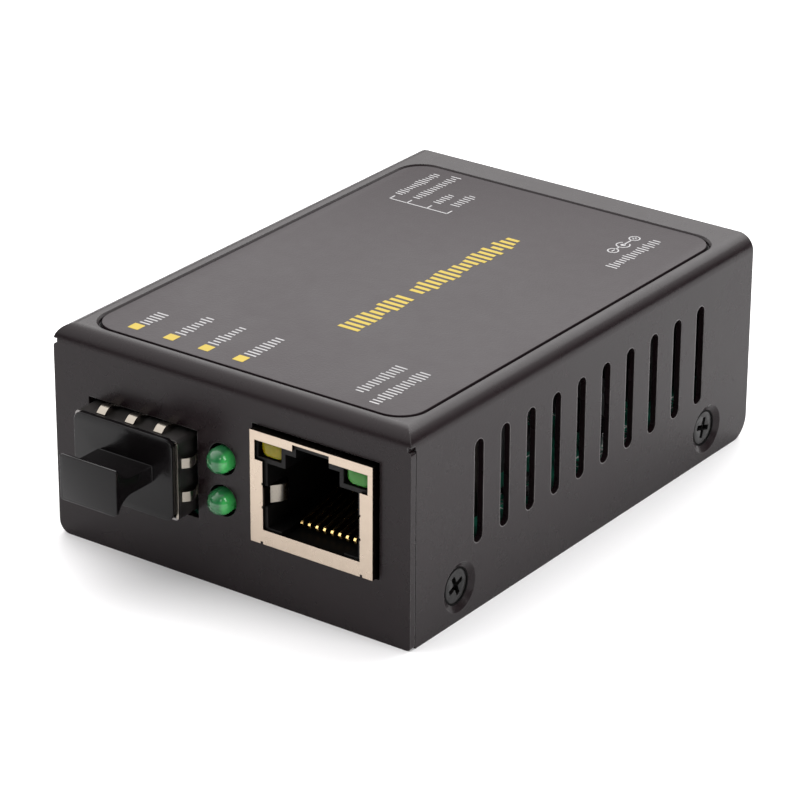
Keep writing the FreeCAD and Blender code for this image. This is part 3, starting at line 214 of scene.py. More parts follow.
NODE_FINISHES: dict[Finish, tuple[str, ...]] = {
    POWDER: ("top_cover", "base_tray"),
    OXIDE: ("cover_screws",),
    FILM: ("label_overlay",),
    SHADED_SHIELD: ("jack_shield",),
    NICKEL: ("sfp_cage",),
    SPRING: ("cage_springs", "power_jack_pin"),
    GOLD: ("jack_contacts",),
    PLUG: ("dust_plug",),
    INSULATOR: ("jack_housing", "host_connector"),
    MOULDED: ("lamp_holder", "power_jack_body", "switch_body"),
    SLIDER: tuple(f"switch_slider_{i}" for i in range(1, 5)),
    BOARD: ("circuit_board",),
    PACKAGE: ("converter_chip", "memory_chip", "line_transformer",
              "voltage_regulator", "power_diode"),
    FERRITE: ("power_inductor", "chip_parts"),
    SOLDERED: ("board_standoffs", "board_screws", "lower_lamp_leads",
               "upper_lamp_leads", "power_jack_terminals", "switch_pins",
               "clock_crystal", "filter_capacitors"),
    LAMP_GREEN: ("lower_lamp", "upper_lamp"),
    LENS_AMBER: ("jack_lamp_left",),
    LENS_GREEN: ("jack_lamp_right",),
}


# Materials ----------------------------------------------------------------------------


class Graph:
    """Adds nodes to a tree, each with its settings and links in one call."""

    def __init__(self, tree: bpy.types.NodeTree) -> None:
        """Takes the tree that the nodes go into."""
        self.tree = tree

    def add(self, kind: str, inputs: Inputs | None = None, out: str = "",
            **settings: Any) -> Socket | None:
        """Adds a node.

        Args:
            kind: Its type.
            inputs: A value, or a socket to link, by the input's name or number.
            out: The output wanted. Without it, the first one in use.
            settings: Properties of the node itself.

        Returns:
            That output, or None where the node has none.
        """
        node = self.tree.nodes.new(kind)
        for name, value in settings.items():
            setattr(node, name, value)
        self.feed(node, inputs or {})
        if out:
            return node.outputs[out]
        return next((s for s in node.outputs if s.enabled), None)

    def feed(self, node: bpy.types.Node, inputs: Inputs) -> None:
        """Sets or links inputs.

        Args:
            node: The node.
            inputs: As for add.
        """
        for key, value in inputs.items():
            socket = node.inputs[key] if isinstance(key, int) else next(
                s for s in node.inputs if s.name == key and s.enabled)
            if isinstance(value, Socket):
                self.tree.links.new(value, socket)
            else:
                socket.default_value = value

    def find(self, kind: str) -> bpy.types.Node:
        """Gives the tree's node of a kind."""
        return next(n for n in self.tree.nodes if n.type == kind)

    def span(self, value: Socket, given: Flat, wanted: Flat = (0.0, 1.0),
             way: str = "LINEAR") -> Socket:
        """Maps a value from one range to another.

        Args:
            value: The value.
            given: The range that it comes in.
            wanted: The range that it goes to.
            way: Kind of interpolation.

        Returns:
            The mapped value.
        """
        return self.add("ShaderNodeMapRange", {
            "Value": value, "From Min": given[0], "From Max": given[1],
            "To Min": wanted[0], "To Max": wanted[1]}, interpolation_type=way)


class ValueGroups:
    """Shader node groups that several finishes share. Each gives a value only."""

    def __init__(self) -> None:
        """Starts without any group."""
        self._made: dict[str, bpy.types.NodeTree] = {}

    def wander(self) -> bpy.types.NodeTree:
        """Gives slow unevenness, as of handling and casting.

        Returns:
            A group with inputs Vector and Scale, and output Value between 0 and 1.
        """
        if "wander" in self._made:
            return self._made["wander"]
        graph, given = self._start("wander")
        finer = graph.add("ShaderNodeMath", {0: given["Scale"], 1: SPOT_FINER},
                          operation="MULTIPLY")
        broad = graph.add("ShaderNodeTexNoise", {
            "Vector": given["Vector"], "Scale": given["Scale"], "Detail": 4.0})
        spots = graph.add("ShaderNodeTexNoise", {
            "Vector": given["Vector"], "Scale": finer, "Detail": 1.0})
        rest = graph.add("ShaderNodeMath", {0: broad, 1: 1.0 - SPOT_SHARE},
                         operation="MULTIPLY")
        blend = graph.add("ShaderNodeMath", {0: spots, 1: SPOT_SHARE, 2: rest},
                          operation="MULTIPLY_ADD")
        graph.add("NodeGroupOutput", {"Value": blend})
        return graph.tree

    def relief(self, grain: Grain) -> bpy.types.NodeTree:
        """Gives the fine relief of a finish.

        Args:
            grain: Which relief.

        Returns:
            A group with inputs Vector and Scale, and output Value between 0 and 1.
        """
        name = f"relief_{grain.value}"
        if name in self._made:
            return self._made[name]
        graph, given = self._start(name)
        vector = given["Vector"]
        if grain is Grain.BRUSHED:
            vector = graph.add("ShaderNodeVectorMath", {0: vector, 1: (0.05, 1.0, 1.0)},
                               operation="MULTIPLY")
        if grain is Grain.MASK:
            cells = graph.add("ShaderNodeTexVoronoi", {
                "Vector": vector, "Scale": given["Scale"]},
                "Distance", feature="F1", distance="CHEBYCHEV")
            height = graph.span(cells, (0.18, 0.24))
        else:
            height = graph.add("ShaderNodeTexNoise", {
                "Vector": vector, "Scale": given["Scale"], "Roughness": 0.6,
                "Detail": 2.0 if grain is Grain.POWDER else 1.0})
        graph.add("NodeGroupOutput", {"Value": height})
        return graph.tree

    def _start(self, name: str) -> tuple[Graph, Any]:
        """Starts a group.

        Args:
            name: Its name.

        Returns:
            Its graph, and the outputs of its input node.
        """
        tree = bpy.data.node_groups.new(name, "ShaderNodeTree")
        for socket, way, kind in (("Vector", "INPUT", "Vector"),
                                  ("Scale", "INPUT", "Float"),
                                  ("Value", "OUTPUT", "Float")):
            tree.interface.new_socket(socket, in_out=way,
                                      socket_type=f"NodeSocket{kind}")
        self._made[name] = tree
        return Graph(tree), tree.nodes.new("NodeGroupInput").outputs


class Paintbox:
    """Builds each finish's material once."""

    def __init__(self) -> None:
        """Starts without any material."""
        self._groups = ValueGroups()
        self._made: dict[str, bpy.types.Material] = {}

    def get(self, finish: Finish) -> bpy.types.Material:
        """Gives the material of a finish, built on first use."""
        if finish.name not in self._made:
            self._made[finish.name] = self._build(finish)
        return self._made[finish.name]

    def _build(self, finish: Finish) -> bpy.types.Material:
        """Builds a material from a finish.

        Args:
            finish: The finish.

        Returns:
            The material.
        """
        material = bpy.data.materials.new(finish.name)
        material.use_nodes = True
        graph = Graph(material.node_tree)
        shader = graph.find("BSDF_PRINCIPLED")
        place = graph.add("ShaderNodeTexCoord", out="Object")
        wander = graph.add("ShaderNodeGroup", {
            "Vector": place, "Scale": 1 / (WANDER_SIZE * MM)},
            node_tree=self._groups.wander())
        tint = graph.span(wander, WANDER_SPAN,
                          (1.0 - finish.mottle, 1.0 + finish.mottle))
        base = self._paint_lit_side(graph, place, finish) if finish.far else finish.colour
        colour = graph.add("ShaderNodeVectorMath", {0: base, "Scale": tint},
                           operation="SCALE")
        rough = graph.span(wander, WANDER_SPAN, (
            max(finish.roughness - finish.smudge, LEAST_ROUGH),
            finish.roughness + finish.smudge))
        normal: Inputs = {}
        if finish.edge:
            soft = graph.add("ShaderNodeBevel", {"Radius": finish.edge * MM},
                             samples=BEVEL_SAMPLES)
            normal = {"Normal": soft}
            # Painted highlight: lighter colour along the rounded edges.
            if finish.edge_highlight:
                colour = self._paint_edge_highlight(graph, soft, colour, wander, finish.edge_highlight)
        if finish.grain is not Grain.NONE:
            height = graph.add("ShaderNodeGroup", {
                "Vector": place, "Scale": 1 / (finish.grain_size * MM)},
                node_tree=self._groups.relief(finish.grain))
            normal = {"Normal": graph.add("ShaderNodeBump", {
                "Distance": finish.relief * MM, "Strength": 1.0, "Height": height,
                **normal})}
        graph.feed(shader, {
            "Base Color": colour, "Roughness": rough, "Metallic": finish.metallic,
            "Specular IOR Level": finish.specular, "Coat Weight": finish.coat,
            "Coat Roughness": COAT_ROUGHNESS, "Transmission Weight": finish.clear,
            "IOR": RESIN_IOR, "Subsurface Weight": finish.scatter,
            "Subsurface Scale": SCATTER_DEPTH * MM, **normal})
        return material

    @staticmethod
    def _paint_lit_side(graph: Graph, place: Socket, finish: Finish) -> Socket:
        """Blends a finish's colour into its far colour along X, painting light on the
        +X side.

        Args:
            graph: The material's graph.
            place: Object coordinates.
            finish: The finish, with a far colour.

        Returns:
            The blended colour.
        """
        x = graph.add("ShaderNodeSeparateXYZ", {0: place}, "X")
        start, end = finish.lit_side_range
        share = graph.span(x, (start * MM, end * MM), way="SMOOTHSTEP")
        return graph.add("ShaderNodeMix", {
            "Factor": share, "A": finish.colour, "B": finish.far}, data_type="VECTOR")

    @staticmethod
    def _paint_edge_highlight(graph: Graph, soft: Socket, colour: Socket, wander: Socket,
              amount: float) -> Socket:
        """Brightens the colour along the edges, as a painted highlight.

        Args:
            graph: The material's graph.
            soft: The rounded normal.
            colour: The colour without the painted highlight.
            wander: The slow unevenness, which breaks the painted highlight up.
            amount: Brightness that the painted highlight adds on a full edge.

        Returns:
            The colour with painted edge highlights.
        """
        flat = graph.add("ShaderNodeNewGeometry", out="Normal")
        turn = graph.add("ShaderNodeVectorMath", {0: soft, 1: flat}, "Value",
                         operation="DOT_PRODUCT")
        mask = graph.span(turn, EDGE_HIGHLIGHT_TURN, (0.0, amount * 2))
        gain = graph.add("ShaderNodeMath", {0: mask, 1: wander}, operation="MULTIPLY")
        return graph.add("ShaderNodeVectorMath", {0: colour, 1: gain})


# Mesh helpers -------------------------------------------------------------------------


def linked(name: str, data: bpy.types.ID) -> bpy.types.Object:
    """Puts a new object with the given data into the scene."""
    made = bpy.data.objects.new(name, data)
    bpy.context.scene.collection.objects.link(made)
    return made


def box_mm(node: str) -> tuple[Vector, Vector]:
    """Gives the lowest and highest corner of a CAD node, in millimetres."""
    low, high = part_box(node)
    return low / MM, high / MM


def finished(work: bmesh.types.BMesh, name: str, sharp: float | None = None) -> Mesh:
    """Turns a mesh in the making into a mesh.

    Args:
        work: The mesh in the making, which this frees.
        name: Name of the result.
        sharp: Angle in degrees above which edges stay sharp. Without it, faces are
            flat.

    Returns:
        The mesh.
    """
    for face in work.faces:
        face.smooth = sharp is not None
    mesh = bpy.data.meshes.new(name)
    work.to_mesh(mesh)
    work.free()
    if sharp is not None:
        mesh.set_sharp_from_angle(angle=math.radians(sharp))
    return mesh


def loft(rings: Sequence[Sequence[Point]], closed: bool = False) -> bmesh.types.BMesh:
    """Spans faces between rings of points.

    Args:
        rings: The rings. One with a single point is a tip.
        closed: Whether the last ring joins the first. Otherwise both ends are capped,
            by the last two faces.

    Returns:
        A mesh in the making, in metres, with its normals outwards.
    """
    work = bmesh.new()
    loops = [[work.verts.new(Vector(point) * MM) for point in ring] for ring in rings]
    for near, far in zip(loops, loops[1:] + (loops[:1] if closed else [])):
        count = max(len(near), len(far))
        for i in range(count):
            j = (i + 1) % count
            corners = dict.fromkeys((near[i % len(near)], near[j % len(near)],
                                     far[j % len(far)], far[i % len(far)]))
            work.faces.new(tuple(corners))
    if not closed:
        for end in (loops[0], loops[-1]):
            if len(end) > 2:
                work.faces.new(end)
    bmesh.ops.recalc_face_normals(work, faces=work.faces)
    return work


def joined(meshes: Sequence[Mesh], name: str) -> Mesh:
    """Joins meshes that share a frame into one.

    Args:
        meshes: The meshes.
        name: Name of the result.

    Returns:
        One mesh with them all.
    """
    work = bmesh.new()
    for mesh in meshes:
        work.from_mesh(mesh)
    result = bpy.data.meshes.new(name)
    work.to_mesh(result)
    work.free()
    return result


def softened(node: str, width: float, segments: int = 3) -> Mesh:
    """Copies a node's mesh and rounds its sharp edges.

    Args:
        node: The node to copy.
        width: Width of the rounding.
        segments: Faces across each rounding.

    Returns:
        The rounded mesh.
    """
    work = bmesh.new()
    work.from_mesh(bpy.data.objects[node].data)
    bmesh.ops.remove_doubles(work, verts=work.verts, dist=1e-6)
    bmesh.ops.dissolve_limit(work, angle_limit=math.radians(1.0), verts=work.verts,
                             edges=work.edges, delimit=set())
    sharp = [e for e in work.edges
             if len(e.link_faces) == 2 and e.calc_face_angle(0.0) > math.radians(32)]
    bmesh.ops.bevel(work, geom=sharp, offset=width * MM, offset_type="OFFSET",
                    segments=segments, profile=0.5, affect="EDGES", clamp_overlap=True)
    return finished(work, node + "_soft", 40)


def slab(low: Point, high: Point, corner: float = 0.0) -> Mesh:
    """Makes a thin box, with rounded upright edges where asked.

    Args:
        low: Lowest corner.
        high: Highest corner.
        corner: Radius of the upright edges.

    Returns:
        The mesh.
    """
    work = bmesh.new()
    bmesh.ops.create_cube(work, size=1.0)
    size, middle = Vector(high) - Vector(low), (Vector(high) + Vector(low)) / 2
    bmesh.ops.scale(work, vec=size * MM, verts=work.verts)
    if corner:
        upright = [e for e in work.edges
                   if abs((e.verts[0].co - e.verts[1].co).z) > size.z * MM * 0.5]
        bmesh.ops.bevel(work, geom=upright, offset=corner * MM, segments=4,
                        profile=0.5, affect="EDGES")
    bmesh.ops.translate(work, vec=middle * MM, verts=work.verts)
    return finished(work, "slab")


def ring(x: float, y: float, level: float, radius: float, stroke: float, lift: float,
         gap: float = 0.0, steps: int = 28) -> Mesh:
    """Makes a flat printed ring, open on one side where asked.

    Args:
        x: Centre.
        y: Centre.
        level: Height of the surface that it lies on.
        radius: Middle radius.
        stroke: Width of the line.
        lift: Thickness.
        gap: Angle left open, in degrees, about +Y.
        steps: Faces round the ring.

    Returns:
        The mesh.
    """
    open_by = math.radians(gap)
    rows = []
    for i in range(steps + 1 if gap else steps):
        angle = math.pi / 2 + open_by / 2 + (math.tau - open_by) * i / steps
        rows.append([(x + r * math.cos(angle), y + r * math.sin(angle), z)
                     for r, z in ring_section(radius, stroke, level, lift)])
    return finished(loft(rows, closed=not gap), "ring")


def ring_section(radius: float, stroke: float, level: float,
                    lift: float) -> list[Flat]:
    """Gives radius and height of the four corners of a ring's section."""
    inner, outer, top = radius - stroke / 2, radius + stroke / 2, level + lift
    return [(inner, level), (outer, level), (outer, top), (inner, top)]


def hoop(x: float, y: float, z: float, radii: Flat, thick: float,
         straight: float = 0.0, steps: int = 40) -> Mesh:
    """Makes a flat ring whose axis is along X.

    Args:
        x: Where its face is.
        y: Centre.
        z: Centre.
        radii: Inner and outer radius.
        thick: Thickness along X, with its sign.
        straight: Half the length of its straight sides along Z.
        steps: Faces round the ring.

    Returns:
        The mesh.
    """
    (inner, outer), back = radii, x - thick
    section = ((inner, x), (outer, x), (outer, back), (inner, back))
    rows = []
    for i in range(steps):
        angle = math.tau * (i + 0.5) / steps
        middle = z + math.copysign(straight, math.sin(angle))
        rows.append([(px, y + r * math.cos(angle), middle + r * math.sin(angle))
                     for r, px in section])
    return finished(loft(rows, closed=True), "hoop")


def prismatic(outline: Sequence[Flat], low: float, high: float, upright: bool = False,
              rounding: float = 0.0) -> Mesh:
    """Extrudes an outline, with its end edges rounded where asked.

    Args:
        outline: Corners of the outline.
        low: Start of the extrusion.
        high: Its end.
        upright: Whether the outline is in X and Z and not in X and Y.
        rounding: Width of the rounding at both ends.

    Returns:
        The mesh.
    """
    work = loft([[(a, c, b) if upright else (a, b, c) for a, b in outline]
                 for c in (low, high)])
    if rounding:
        rims = list({edge for end in list(work.faces)[-2:] for edge in end.edges})
        bmesh.ops.bevel(work, geom=rims, offset=rounding * MM, segments=3, profile=0.5,
                        affect="EDGES", clamp_overlap=True)
    return finished(work, "prismatic", 35)


def rounded_box(low: Flat, high: Flat, corners: Sequence[float],
                steps: int = 8) -> list[Flat]:
    """Gives the outline of a box with a radius at each corner.

    Args:
        low: Lower left corner.
        high: Upper right corner.
        corners: Radii at lower left, lower right, upper right and upper left.
        steps: Segments in each rounded corner.

    Returns:
        The outline's points, anticlockwise.
    """
    places = ((low[0], low[1], 1, 1), (high[0], low[1], -1, 1),
              (high[0], high[1], -1, -1), (low[0], high[1], 1, -1))
    points = []
    for turn, ((x, y, dx, dy), radius) in enumerate(zip(places, corners)):
        if not radius:
            points.append((x, y))
            continue
        for i in range(steps + 1):
            angle = math.pi + (turn + i / steps) * math.pi / 2
            points.append((x + radius * (dx + math.cos(angle)),
                           y + radius * (dy + math.sin(angle))))
    return points


def ribbon(path: Sequence[Point], across: Point, width: float, skin: float,
           away: Point) -> Mesh:
    """Makes a bent strip of sheet that follows a path.

    Args:
        path: Points of the strip's inner face.
        across: Unit vector along the strip's width.
        width: Width of the strip.
        skin: Thickness of the sheet.
        away: Rough direction in which the thickness is added.

    Returns:
        A closed mesh with smooth broad faces.
    """
    side = Vector(across) * width / 2
    points = [Vector(p) for p in path]
    rows = []
    for i, point in enumerate(points):
        before, after = points[max(i - 1, 0)], points[min(i + 1, len(points) - 1)]
        normal = (after - before).cross(Vector(across)).normalized()
        lift = normal * (skin if normal.dot(Vector(away)) >= 0 else -skin)
        rows.append([point - side, point + side, point + side + lift,
                     point - side + lift])
    return finished(loft(rows), "ribbon", 50)


def domed(outline: Sequence[Flat], front: float, rear: float, bulge: float) -> Mesh:
    """Makes a bar along Y whose front bulges out.

    Args:
        outline: Its section in X and Z.
        front: Where the bulge is furthest forward.
        rear: Its rear end.
        bulge: Depth of the bulge.

    Returns:
        The mesh.
    """
    cx, cz = (sum(values) / len(outline) for values in zip(*outline))
    rows = []
    for share in (0.25, 0.5, 0.72, 0.88, 0.97, 1.0):
        y = front + bulge * (1 - math.sqrt(1 - share ** 2))
        rows.append([(cx + (x - cx) * share, y, cz + (z - cz) * share)
                     for x, z in outline])
    rows.append([(x, rear, z) for x, z in outline])
    return finished(loft(rows), "domed", 50)


def turned(profile: Sequence[Flat], x: float, z: float, steps: int) -> Mesh:
    """Turns a profile about a line along Y.

    Args:
        profile: Radius and Y of each point, from front to rear.
        x: X of the line.
        z: Z of the line.
        steps: Faces round the turn.

    Returns:
        A closed mesh with smooth faces.
    """
    angles = [math.tau * i / steps for i in range(steps)]
    rows = [[(x + radius * math.cos(a), y, z + radius * math.sin(a)) for a in angles]
            if radius else [(x, y, z)] for radius, y in profile]
    return finished(loft(rows), "turned", 35)


def bend(rise: float, start: float, end: float, share: float, crest: float = 0.35,
         eased: bool = False) -> Flat:
    """Gives a point of a spring's bow.

    Args:
        rise: Height of the bow.
        start: Where it starts.
        end: Where it ends.
        share: How far along the point is, from 0 to 1.
        crest: How far along it is highest.
        eased: Whether it leaves its start gently.

    Returns:
        The place along the bow and the height there.
    """
    if share >= crest:
        height = 0.5 * (1 + math.cos(math.pi * (share - crest) / (1 - crest)))
    elif eased:
        height = 0.5 * (1 - math.cos(math.pi * share / crest))
    else:
        height = math.sin(math.pi / 2 * share / crest)
    return start + (end - start) * share, rise * height


# Sub-assemblies -----------------------------------------------------------------------


@dataclass
class Assembly:
    """A part of the object that adds its own pieces.

    Attributes:
        paints: Where materials come from.
    """

    paints: Paintbox

    def add(self, name: str, mesh: Mesh | Sequence[Mesh], finish: Finish, slot: str,
            instead_of: str = "", body: str = "case") -> None:
        """Adds a piece to the scene, ties it to a body and reports it.

        Args:
            name: Name of the piece.
            mesh: Its mesh, or the meshes to join, placed in the row's frame.
            finish: The only finish on it.
            slot: The record's material slot. Not used.
            instead_of: The CAD node that it replaces, if any.
            body: The body that it moves with.
        """
        if not isinstance(mesh, Mesh):
            mesh = joined(mesh, name)
        mesh.materials.clear()
        mesh.materials.append(self.paints.get(finish))
        piece = linked(name, mesh)
        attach(piece, body)
        if instead_of:
            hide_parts(instead_of)
        log.info("piece %s on %s, for %s", name, body, instead_of or "looks only")


@dataclass(frozen=True)
class TickRow:
    """A row of upright ticks that fills the place of a printed word.

    Attributes:
        x: Middle of the row across the label.
        y: Start and end of the row.
        height: Height of the tallest tick.
        stroke: Width of one tick.
        pitch: Distance between ticks.
        seed: Seed of the random heights.
        least: Height of the shortest tick as a share of the tallest.
    """

    x: float
    y: Flat
    height: float
    stroke: float
    pitch: float
    seed: int
    least: float = 0.5


class TickTree:
    """Geometry nodes that lay one row of ticks along +Y."""

    def __init__(self, material: bpy.types.Material) -> None:
        """Builds the tree.

        Args:
            material: The material of the ticks.
        """
        self.tree = bpy.data.node_groups.new("tick_row", "GeometryNodeTree")
        face = self.tree.interface
        self.ids: dict[str, str] = {}
        for name, kind in (("Count", "Int"), ("Pitch", "Float"), ("Stroke", "Float"),
                           ("Height", "Float"), ("Lift", "Float"), ("Seed", "Int"),
                           ("Least", "Float")):
            self.ids[name] = face.new_socket(
                name, in_out="INPUT", socket_type=f"NodeSocket{kind}").identifier
        face.new_socket("Geometry", in_out="OUTPUT", socket_type="NodeSocketGeometry")
        graph = Graph(self.tree)
        given = self.tree.nodes.new("NodeGroupInput").outputs
        step = graph.add("ShaderNodeCombineXYZ", {"Y": given["Pitch"]})
        line = graph.add("GeometryNodeMeshLine", {
            "Count": given["Count"], "Offset": step})
        size = graph.add("ShaderNodeCombineXYZ", {
            "X": given["Height"], "Y": given["Stroke"], "Z": given["Lift"]})
        box = graph.add("GeometryNodeMeshCube", {"Size": size})
        share = graph.add("FunctionNodeRandomValue", {
            "Min": given["Least"], "Max": 1.0, "Seed": given["Seed"]},
            data_type="FLOAT")
        scale = graph.add("ShaderNodeCombineXYZ", {"X": share, "Y": 1.0, "Z": 1.0})
        ticks = graph.add("GeometryNodeInstanceOnPoints", {
            "Points": line, "Instance": box, "Scale": scale})
        real = graph.add("GeometryNodeRealizeInstances", {0: ticks})
        paint = graph.add("GeometryNodeSetMaterial", {
            "Geometry": real, "Material": material})
        graph.add("NodeGroupOutput", {0: paint})

    def mesh(self, row: TickRow, level: float, lift: float) -> Mesh:
        """Makes one row's mesh.

        Args:
            row: The row.
            level: Height of the surface that it is printed on.
            lift: Thickness of the print.

        Returns:
            The placed mesh.
        """
        length = row.y[1] - row.y[0] - row.stroke
        count = max(2, round(length / row.pitch) + 1)
        values = {"Count": count, "Pitch": length / (count - 1) * MM,
                  "Stroke": row.stroke * MM, "Height": row.height * MM,
                  "Lift": lift * MM, "Seed": row.seed, "Least": row.least}
        holder = linked("tick_holder", bpy.data.meshes.new("tick_holder"))
        modifier = holder.modifiers.new("ticks", "NODES")
        modifier.node_group = self.tree
        for name, value in values.items():
            modifier[self.ids[name]] = value
        graph = bpy.context.evaluated_depsgraph_get()
        mesh = bpy.data.meshes.new_from_object(holder.evaluated_get(graph))
        holder.modifiers.remove(modifier)
        bpy.data.objects.remove(holder)
        start = Vector((row.x, row.y[0] + row.stroke / 2, level + lift / 2))
        mesh.transform(Matrix.Translation(start * MM))
        return mesh


@dataclass
class Label(Assembly):
    """The film on the top, and the plain marks printed on it.

    Attributes:
        lift: Thickness of the ink.
        joint: Width of the open joint round the film.
        corner: Radius of the film's corners.
        sunk: How far the film lies below the case.
        bed: Margin and thickness of the dark bed in the joint, a painted shadow seen
            through the gap.
        square: Half the width of a square mark.
        line: Half the width of a printed line.
        squares: Middles of the square marks.
        title: The large rows.
        rows: The small rows.
        bracket: Y of the bracket's back and of its tips.
        tips: X of the bracket's tips.
        reach: X where the bracket's back ends.
        mark: X of the mark for the inlet.
        rings: Y, radius and open angle of its rings.
        stems: Ends of the lines between them.
        sign: Half the length of the strokes in the outer rings.
        ring_stroke: Width of a ring's line.
        dot: Radius and stroke of the dot in the middle ring.
    """

    lift: float = 0.02
    joint: float = 0.13
    corner: float = 3.2
    sunk: float = 0.03
    bed: float = 0.1
    square: float = 0.7
    line: float = 0.09
    squares: tuple[Flat, ...] = (
        (-16.2, -28.8), (-11.3, -28.8), (-6.5, -28.8), (-1.8, -28.8))
    title: tuple[TickRow, ...] = (
        TickRow(2.55, (-15.7, -4.9), 2.9, 0.58, 1.05, 3),
        TickRow(2.55, (-3.1, 16.2), 2.9, 0.58, 1.05, 8))
    rows: tuple[TickRow, ...] = (
        TickRow(-16.0, (-27.7, -24.4), 1.7, 0.24, 0.62, 11),
        TickRow(-11.1, (-27.6, -22.3), 1.7, 0.24, 0.62, 12),
        TickRow(-6.6, (-27.6, -22.3), 1.7, 0.24, 0.62, 13),
        TickRow(-1.6, (-27.6, -22.2), 1.7, 0.24, 0.62, 14),
        TickRow(13.3, (-28.1, -20.5), 1.8, 0.22, 0.60, 15),
        TickRow(16.3, (-29.6, -20.3), 1.8, 0.22, 0.60, 16),
        TickRow(-16.4, (19.8, 27.6), 1.5, 0.2, 0.56, 17),
        TickRow(-13.95, (19.9, 28.2), 1.5, 0.2, 0.56, 18),
        TickRow(-11.1, (20.1, 23.1), 1.5, 0.2, 0.56, 19),
        TickRow(-8.9, (20.6, 24.3), 1.5, 0.2, 0.56, 20),
        TickRow(16.0, (15.8, 25.5), 1.7, 0.22, 0.60, 21))
    bracket: Flat = (18.05, 19.1)
    tips: tuple[float, ...] = (-16.4, -13.95, -11.1, -8.2)
    reach: float = -8.1
    mark: float = 13.5
    rings: tuple[Point, ...] = ((20.1, 0.62, 0.0), (22.2, 0.78, 70.0),
                                (24.6, 0.62, 0.0))
    stems: tuple[Flat, ...] = ((20.72, 21.42), (22.35, 23.98))
    sign: float = 0.32
    ring_stroke: float = 0.16
    dot: Flat = (0.16, 0.3)

    def build(self) -> None:
        """Lays the film and prints everything on it."""
        top = self._film()
        ticks, half = TickTree(self.paints.get(PRINT_WHITE)), self.square
        small = [ticks.mesh(row, top, self.lift) for row in self.rows]
        big = [ticks.mesh(row, top, self.lift) for row in self.title]
        big += [slab((x - half, y - half, top), (x + half, y + half, top + self.lift),
                     0.1) for x, y in self.squares]
        self.add("print_title", big, PRINT_YELLOW, "label_dark")
        self.add("print_words", small, PRINT_WHITE, "label_dark")
        self.add("print_lines", self._lines(top), PRINT_WHITE, "label_dark")

    def _film(self) -> float:
        """Lays the film nearly level with the case, with a dark bed of painted shadow
        under the joint round it.

        Returns:
            The height of its upper face.
        """
        low, high = box_mm("label_overlay")
        top = box_mm("top_cover")[1].z - self.sunk
        gap, bed = self.joint, self.bed
        film = rounded_box((low.x + gap, low.y + gap), (high.x - gap, high.y - gap),
                           (self.corner,) * 4)
        self.add("label_film", prismatic(film, low.z, top, rounding=0.05), FILM,
                 "label_dark", "label_overlay")
        under = rounded_box((low.x - bed, low.y - bed), (high.x + bed, high.y + bed),
                            (self.corner + gap + bed,) * 4)
        # The near-black bed under the joint is painted shadow in the gap round the
        # film.
        self.add("label_joint", prismatic(under, low.z, low.z + bed), SHADE,
                 "label_dark")
        return top

    def _lines(self, top: float) -> list[Mesh]:
        """Draws the bracket and the inlet's mark.

        Args:
            top: Height of the film.

        Returns:
            One mesh for every stroke.
        """
        w, x, long = self.line, self.mark, self.sign
        back, front = self.bracket
        last = self.rings[-1][0]
        strokes = [(self.tips[0], back - w, self.reach, back + w)]
        strokes += [(tip - w, back, tip + w, front) for tip in self.tips]
        strokes += [(x - w, low, x + w, high) for low, high in self.stems]
        strokes += [(x - w, y - long, x + w, y + long)
                    for y in (self.rings[0][0], last)]
        strokes.append((x - long, last - w, x + long, last + w))
        lines = [slab((x0, y0, top), (x1, y1, top + self.lift))
                 for x0, y0, x1, y1 in strokes]
        lines += [ring(x, y, top, radius, self.ring_stroke, self.lift, gap)
                  for y, radius, gap in self.rings]
        return lines + [ring(x, self.rings[1][0], top, *self.dot, self.lift)]


